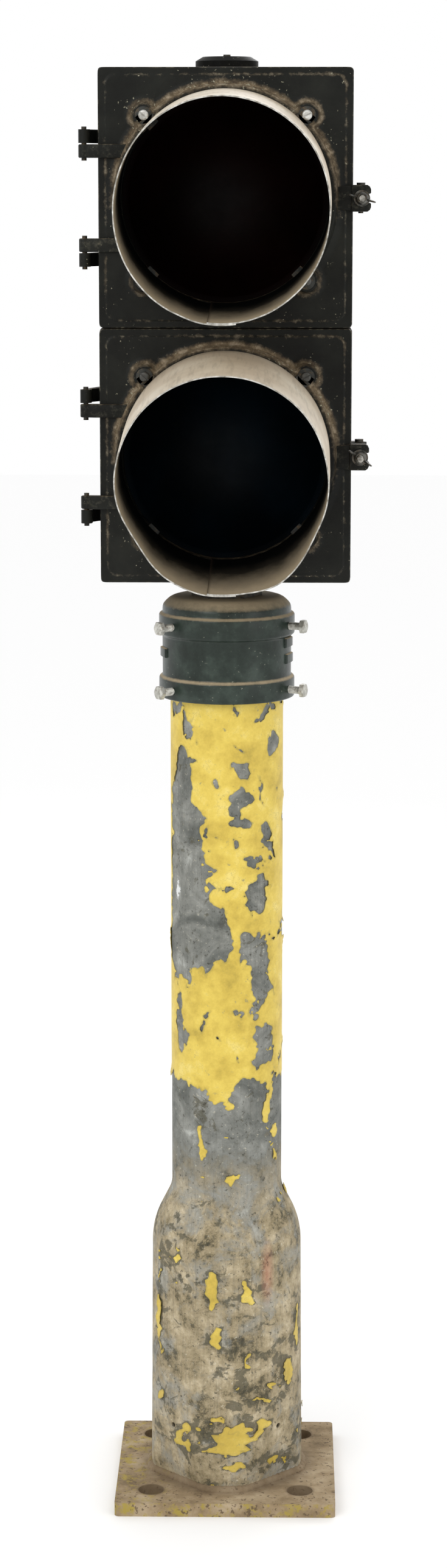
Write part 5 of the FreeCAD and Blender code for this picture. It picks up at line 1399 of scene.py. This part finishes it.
def cap_enamel():
    """The cap's enamel: blacker and glossier than the castings, with 15 mm dusty clouds and
    pale grit of 2 mm."""
    material, tree, shader, place = new_finish("gloss_black_enamel_cap", 0.45)
    cloud = add(tree, "TexNoise", {"Scale": 1000 / 15, "Detail": 6.0, "Roughness": 0.7,
                                   "Vector": place})
    base = add(tree, "ValToRGB", {"stops": [(0.4, "#0b0b09"), (0.58, "#131310"), (0.75, "#2a271f")],
                                  "Fac": cloud})
    grit = add(tree, "TexNoise", {"Scale": 1000 / 2, "Detail": 2.0, "Vector": place})
    dots = add(tree, "MapRange", {"range": (0.7, 0.74, 0, 0.7), "Value": grit})
    chipped = add(tree, "MixRGB", {"Color2": "#8f8c80", "Fac": dots, "Color1": base})
    bump = add(tree, "Bump", {"Strength": 0.2, "Distance": 0.0004, "Height": cloud})
    wire(shader, {"Specular IOR Level": 0.06, "Base Color": chipped, "Normal": bump})
    return material


dress(cap_enamel(), "closure_cap")


def visor_screw_plate():
    """Round-head screws: the upper pair of the upper visor still bright, the rest blackened,
    which changes over within 10 mm at the upper section's middle height."""
    material = dull_metal("plated_round_head_screws", "#a9a8a2", "#e4e3de", 0.25)
    tree = material.node_tree
    shader = tree.nodes["Principled BSDF"]
    bright = shader.inputs["Base Color"].links[0].from_socket
    height = add(tree, "SeparateXYZ", {"Vector": add(tree, "TexCoord").outputs["Object"]})
    low = add(tree, "MapRange", {"range": (1.345, 1.335, 0, 0.9), "Value": height.outputs["Z"]})
    mixed = add(tree, "MixRGB", {"Color2": "#262622", "Fac": low, "Color1": bright})
    wire(shader, {"Base Color": mixed})
    return material


DARK_STEEL = dull_metal("blackened_dirty_steel", "#22221f", "#4a4842", 0.6)
dress(visor_screw_plate(), "upper_visor_screws", "lower_visor_screws")
dress(DARK_STEEL, "closure_screw", "upper_hinge_pins", "lower_hinge_pins",
      "upper_latch_pivot_pin", "lower_latch_pivot_pin", "neck_toothed_ring", "neck_nipple",
      "neck_lock_nuts")
dress(ZINC_FINISH, "section_tie_washers", "section_tie_bolts", "section_tie_nuts",
      "terminal_screws")
for section, middle in SECTIONS:
    dress(ZINC_FINISH, section + "_lens_clips", section + "_lens_clip_screws",
          section + "_reflector_screws")


def rubber(name):
    """Black seal rubber gone grey and dry: 5 mm chalky mottling and a fine skin in the bump."""
    material, tree, shader, place = new_finish(name, 0.85)
    chalk = add(tree, "TexNoise", {"Scale": 1000 / 5, "Detail": 5.0, "Roughness": 0.7,
                                   "Vector": place})
    base = add(tree, "ValToRGB", {"stops": [(0.35, "#121211"), (0.75, "#34322e")], "Fac": chalk})
    bump = add(tree, "Bump", {"Strength": 0.3, "Distance": 0.0003, "Height": chalk})
    wire(shader, {"Base Color": base, "Normal": bump})
    return material


RUBBER = rubber("aged_black_seal_rubber")
dress(RUBBER, "closure_gasket")
for section, middle in SECTIONS:
    dress(RUBBER, section + "_door_gasket", section + "_lens_seal")

# ---- inside the sections ---------------------------------------------------------------
# Spun aluminium mirrors with a bright faintly ringed face on pressed sheet frames, brown
# phenolic lamp sockets and terminal block, and clear glass lamps.


def moulded(name, dark, light, roughness, size):
    """A moulded or pressed surface: two close tones in clouds of a size in mm, and a fine
    0.8 mm skin in the bump."""
    material, tree, shader, place = new_finish(name, roughness)
    cloud = add(tree, "TexNoise", {"Scale": 1000 / size, "Detail": 5.0, "Roughness": 0.6,
                                   "Vector": place})
    base = add(tree, "ValToRGB", {"stops": [(0.35, dark), (0.7, light)], "Fac": cloud})
    skin = add(tree, "TexNoise", {"Scale": 1000 / 0.8, "Detail": 2.0, "Vector": place})
    bump = add(tree, "Bump", {"Strength": 0.15, "Distance": 0.0002, "Height": skin})
    wire(shader, {"Base Color": base, "Normal": bump})
    return material


def spun_mirror(name, centre):
    """Spun and lacquered aluminium: faint rings about the lens axis, drawn coarser than real
    spinning marks so that they show. The wave repeats every 2 pi / 20 of a unit, which makes
    them 9.4 mm apart."""
    material, tree, shader, place = new_finish(name, 0.15, 1.0)
    about = add(tree, "Mapping", {"Location": (0, 0, -centre * MM), "Scale": (1, 0, 1),
                                  "Vector": place})
    rings = add(tree, "TexWave", {"wave_type": "RINGS", "rings_direction": "SPHERICAL",
                                  "Scale": 1000 / 1.5 / 20, "Distortion": 0.4, "Vector": about})
    base = add(tree, "ValToRGB", {"stops": [(0.2, "#c9cacb"), (0.8, "#e6e7e8")],
                                  "Fac": rings.outputs["Fac"]})
    bump = add(tree, "Bump", {"Strength": 0.06, "Distance": 0.0002, "Height": rings.outputs["Fac"]})
    wire(shader, {"Base Color": base, "Normal": bump})
    return material


def lamp_glass():
    """Clear soda glass bulb with a faint 20 mm bloom of dust."""
    material, tree, shader, place = new_finish("clear_soda_glass_lamp", 0.05)
    bloom = add(tree, "TexNoise", {"Scale": 1000 / 20, "Detail": 4.0, "Vector": place})
    base = add(tree, "ValToRGB", {"stops": [(0.3, "#e9ebea"), (0.8, "#c9c8c0")], "Fac": bloom})
    dull = add(tree, "MapRange", {"range": (0, 1, 0.02, 0.3), "Value": bloom})
    wire(shader, {"Transmission Weight": 0.85, "IOR": 1.5, "Base Color": base, "Roughness": dull})
    return material


PHENOLIC = moulded("brown_phenolic_mouldings", "#2b1a12", "#4a2f20", 0.4, 12)
FRAME_PAINT = moulded("grey_painted_pressed_frames", "#4f5250", "#6d706d", 0.55, 25)
LAMP_GLASS = lamp_glass()
dress(PHENOLIC, "terminal_block")
for section, middle in SECTIONS:
    dress(PHENOLIC, section + "_lamp_socket")
    dress(FRAME_PAINT, section + "_reflector_frame")
    dress(spun_mirror(section + "_spun_aluminium_mirror", middle), section + "_reflector")
    dress(LAMP_GLASS, section + "_lamp")
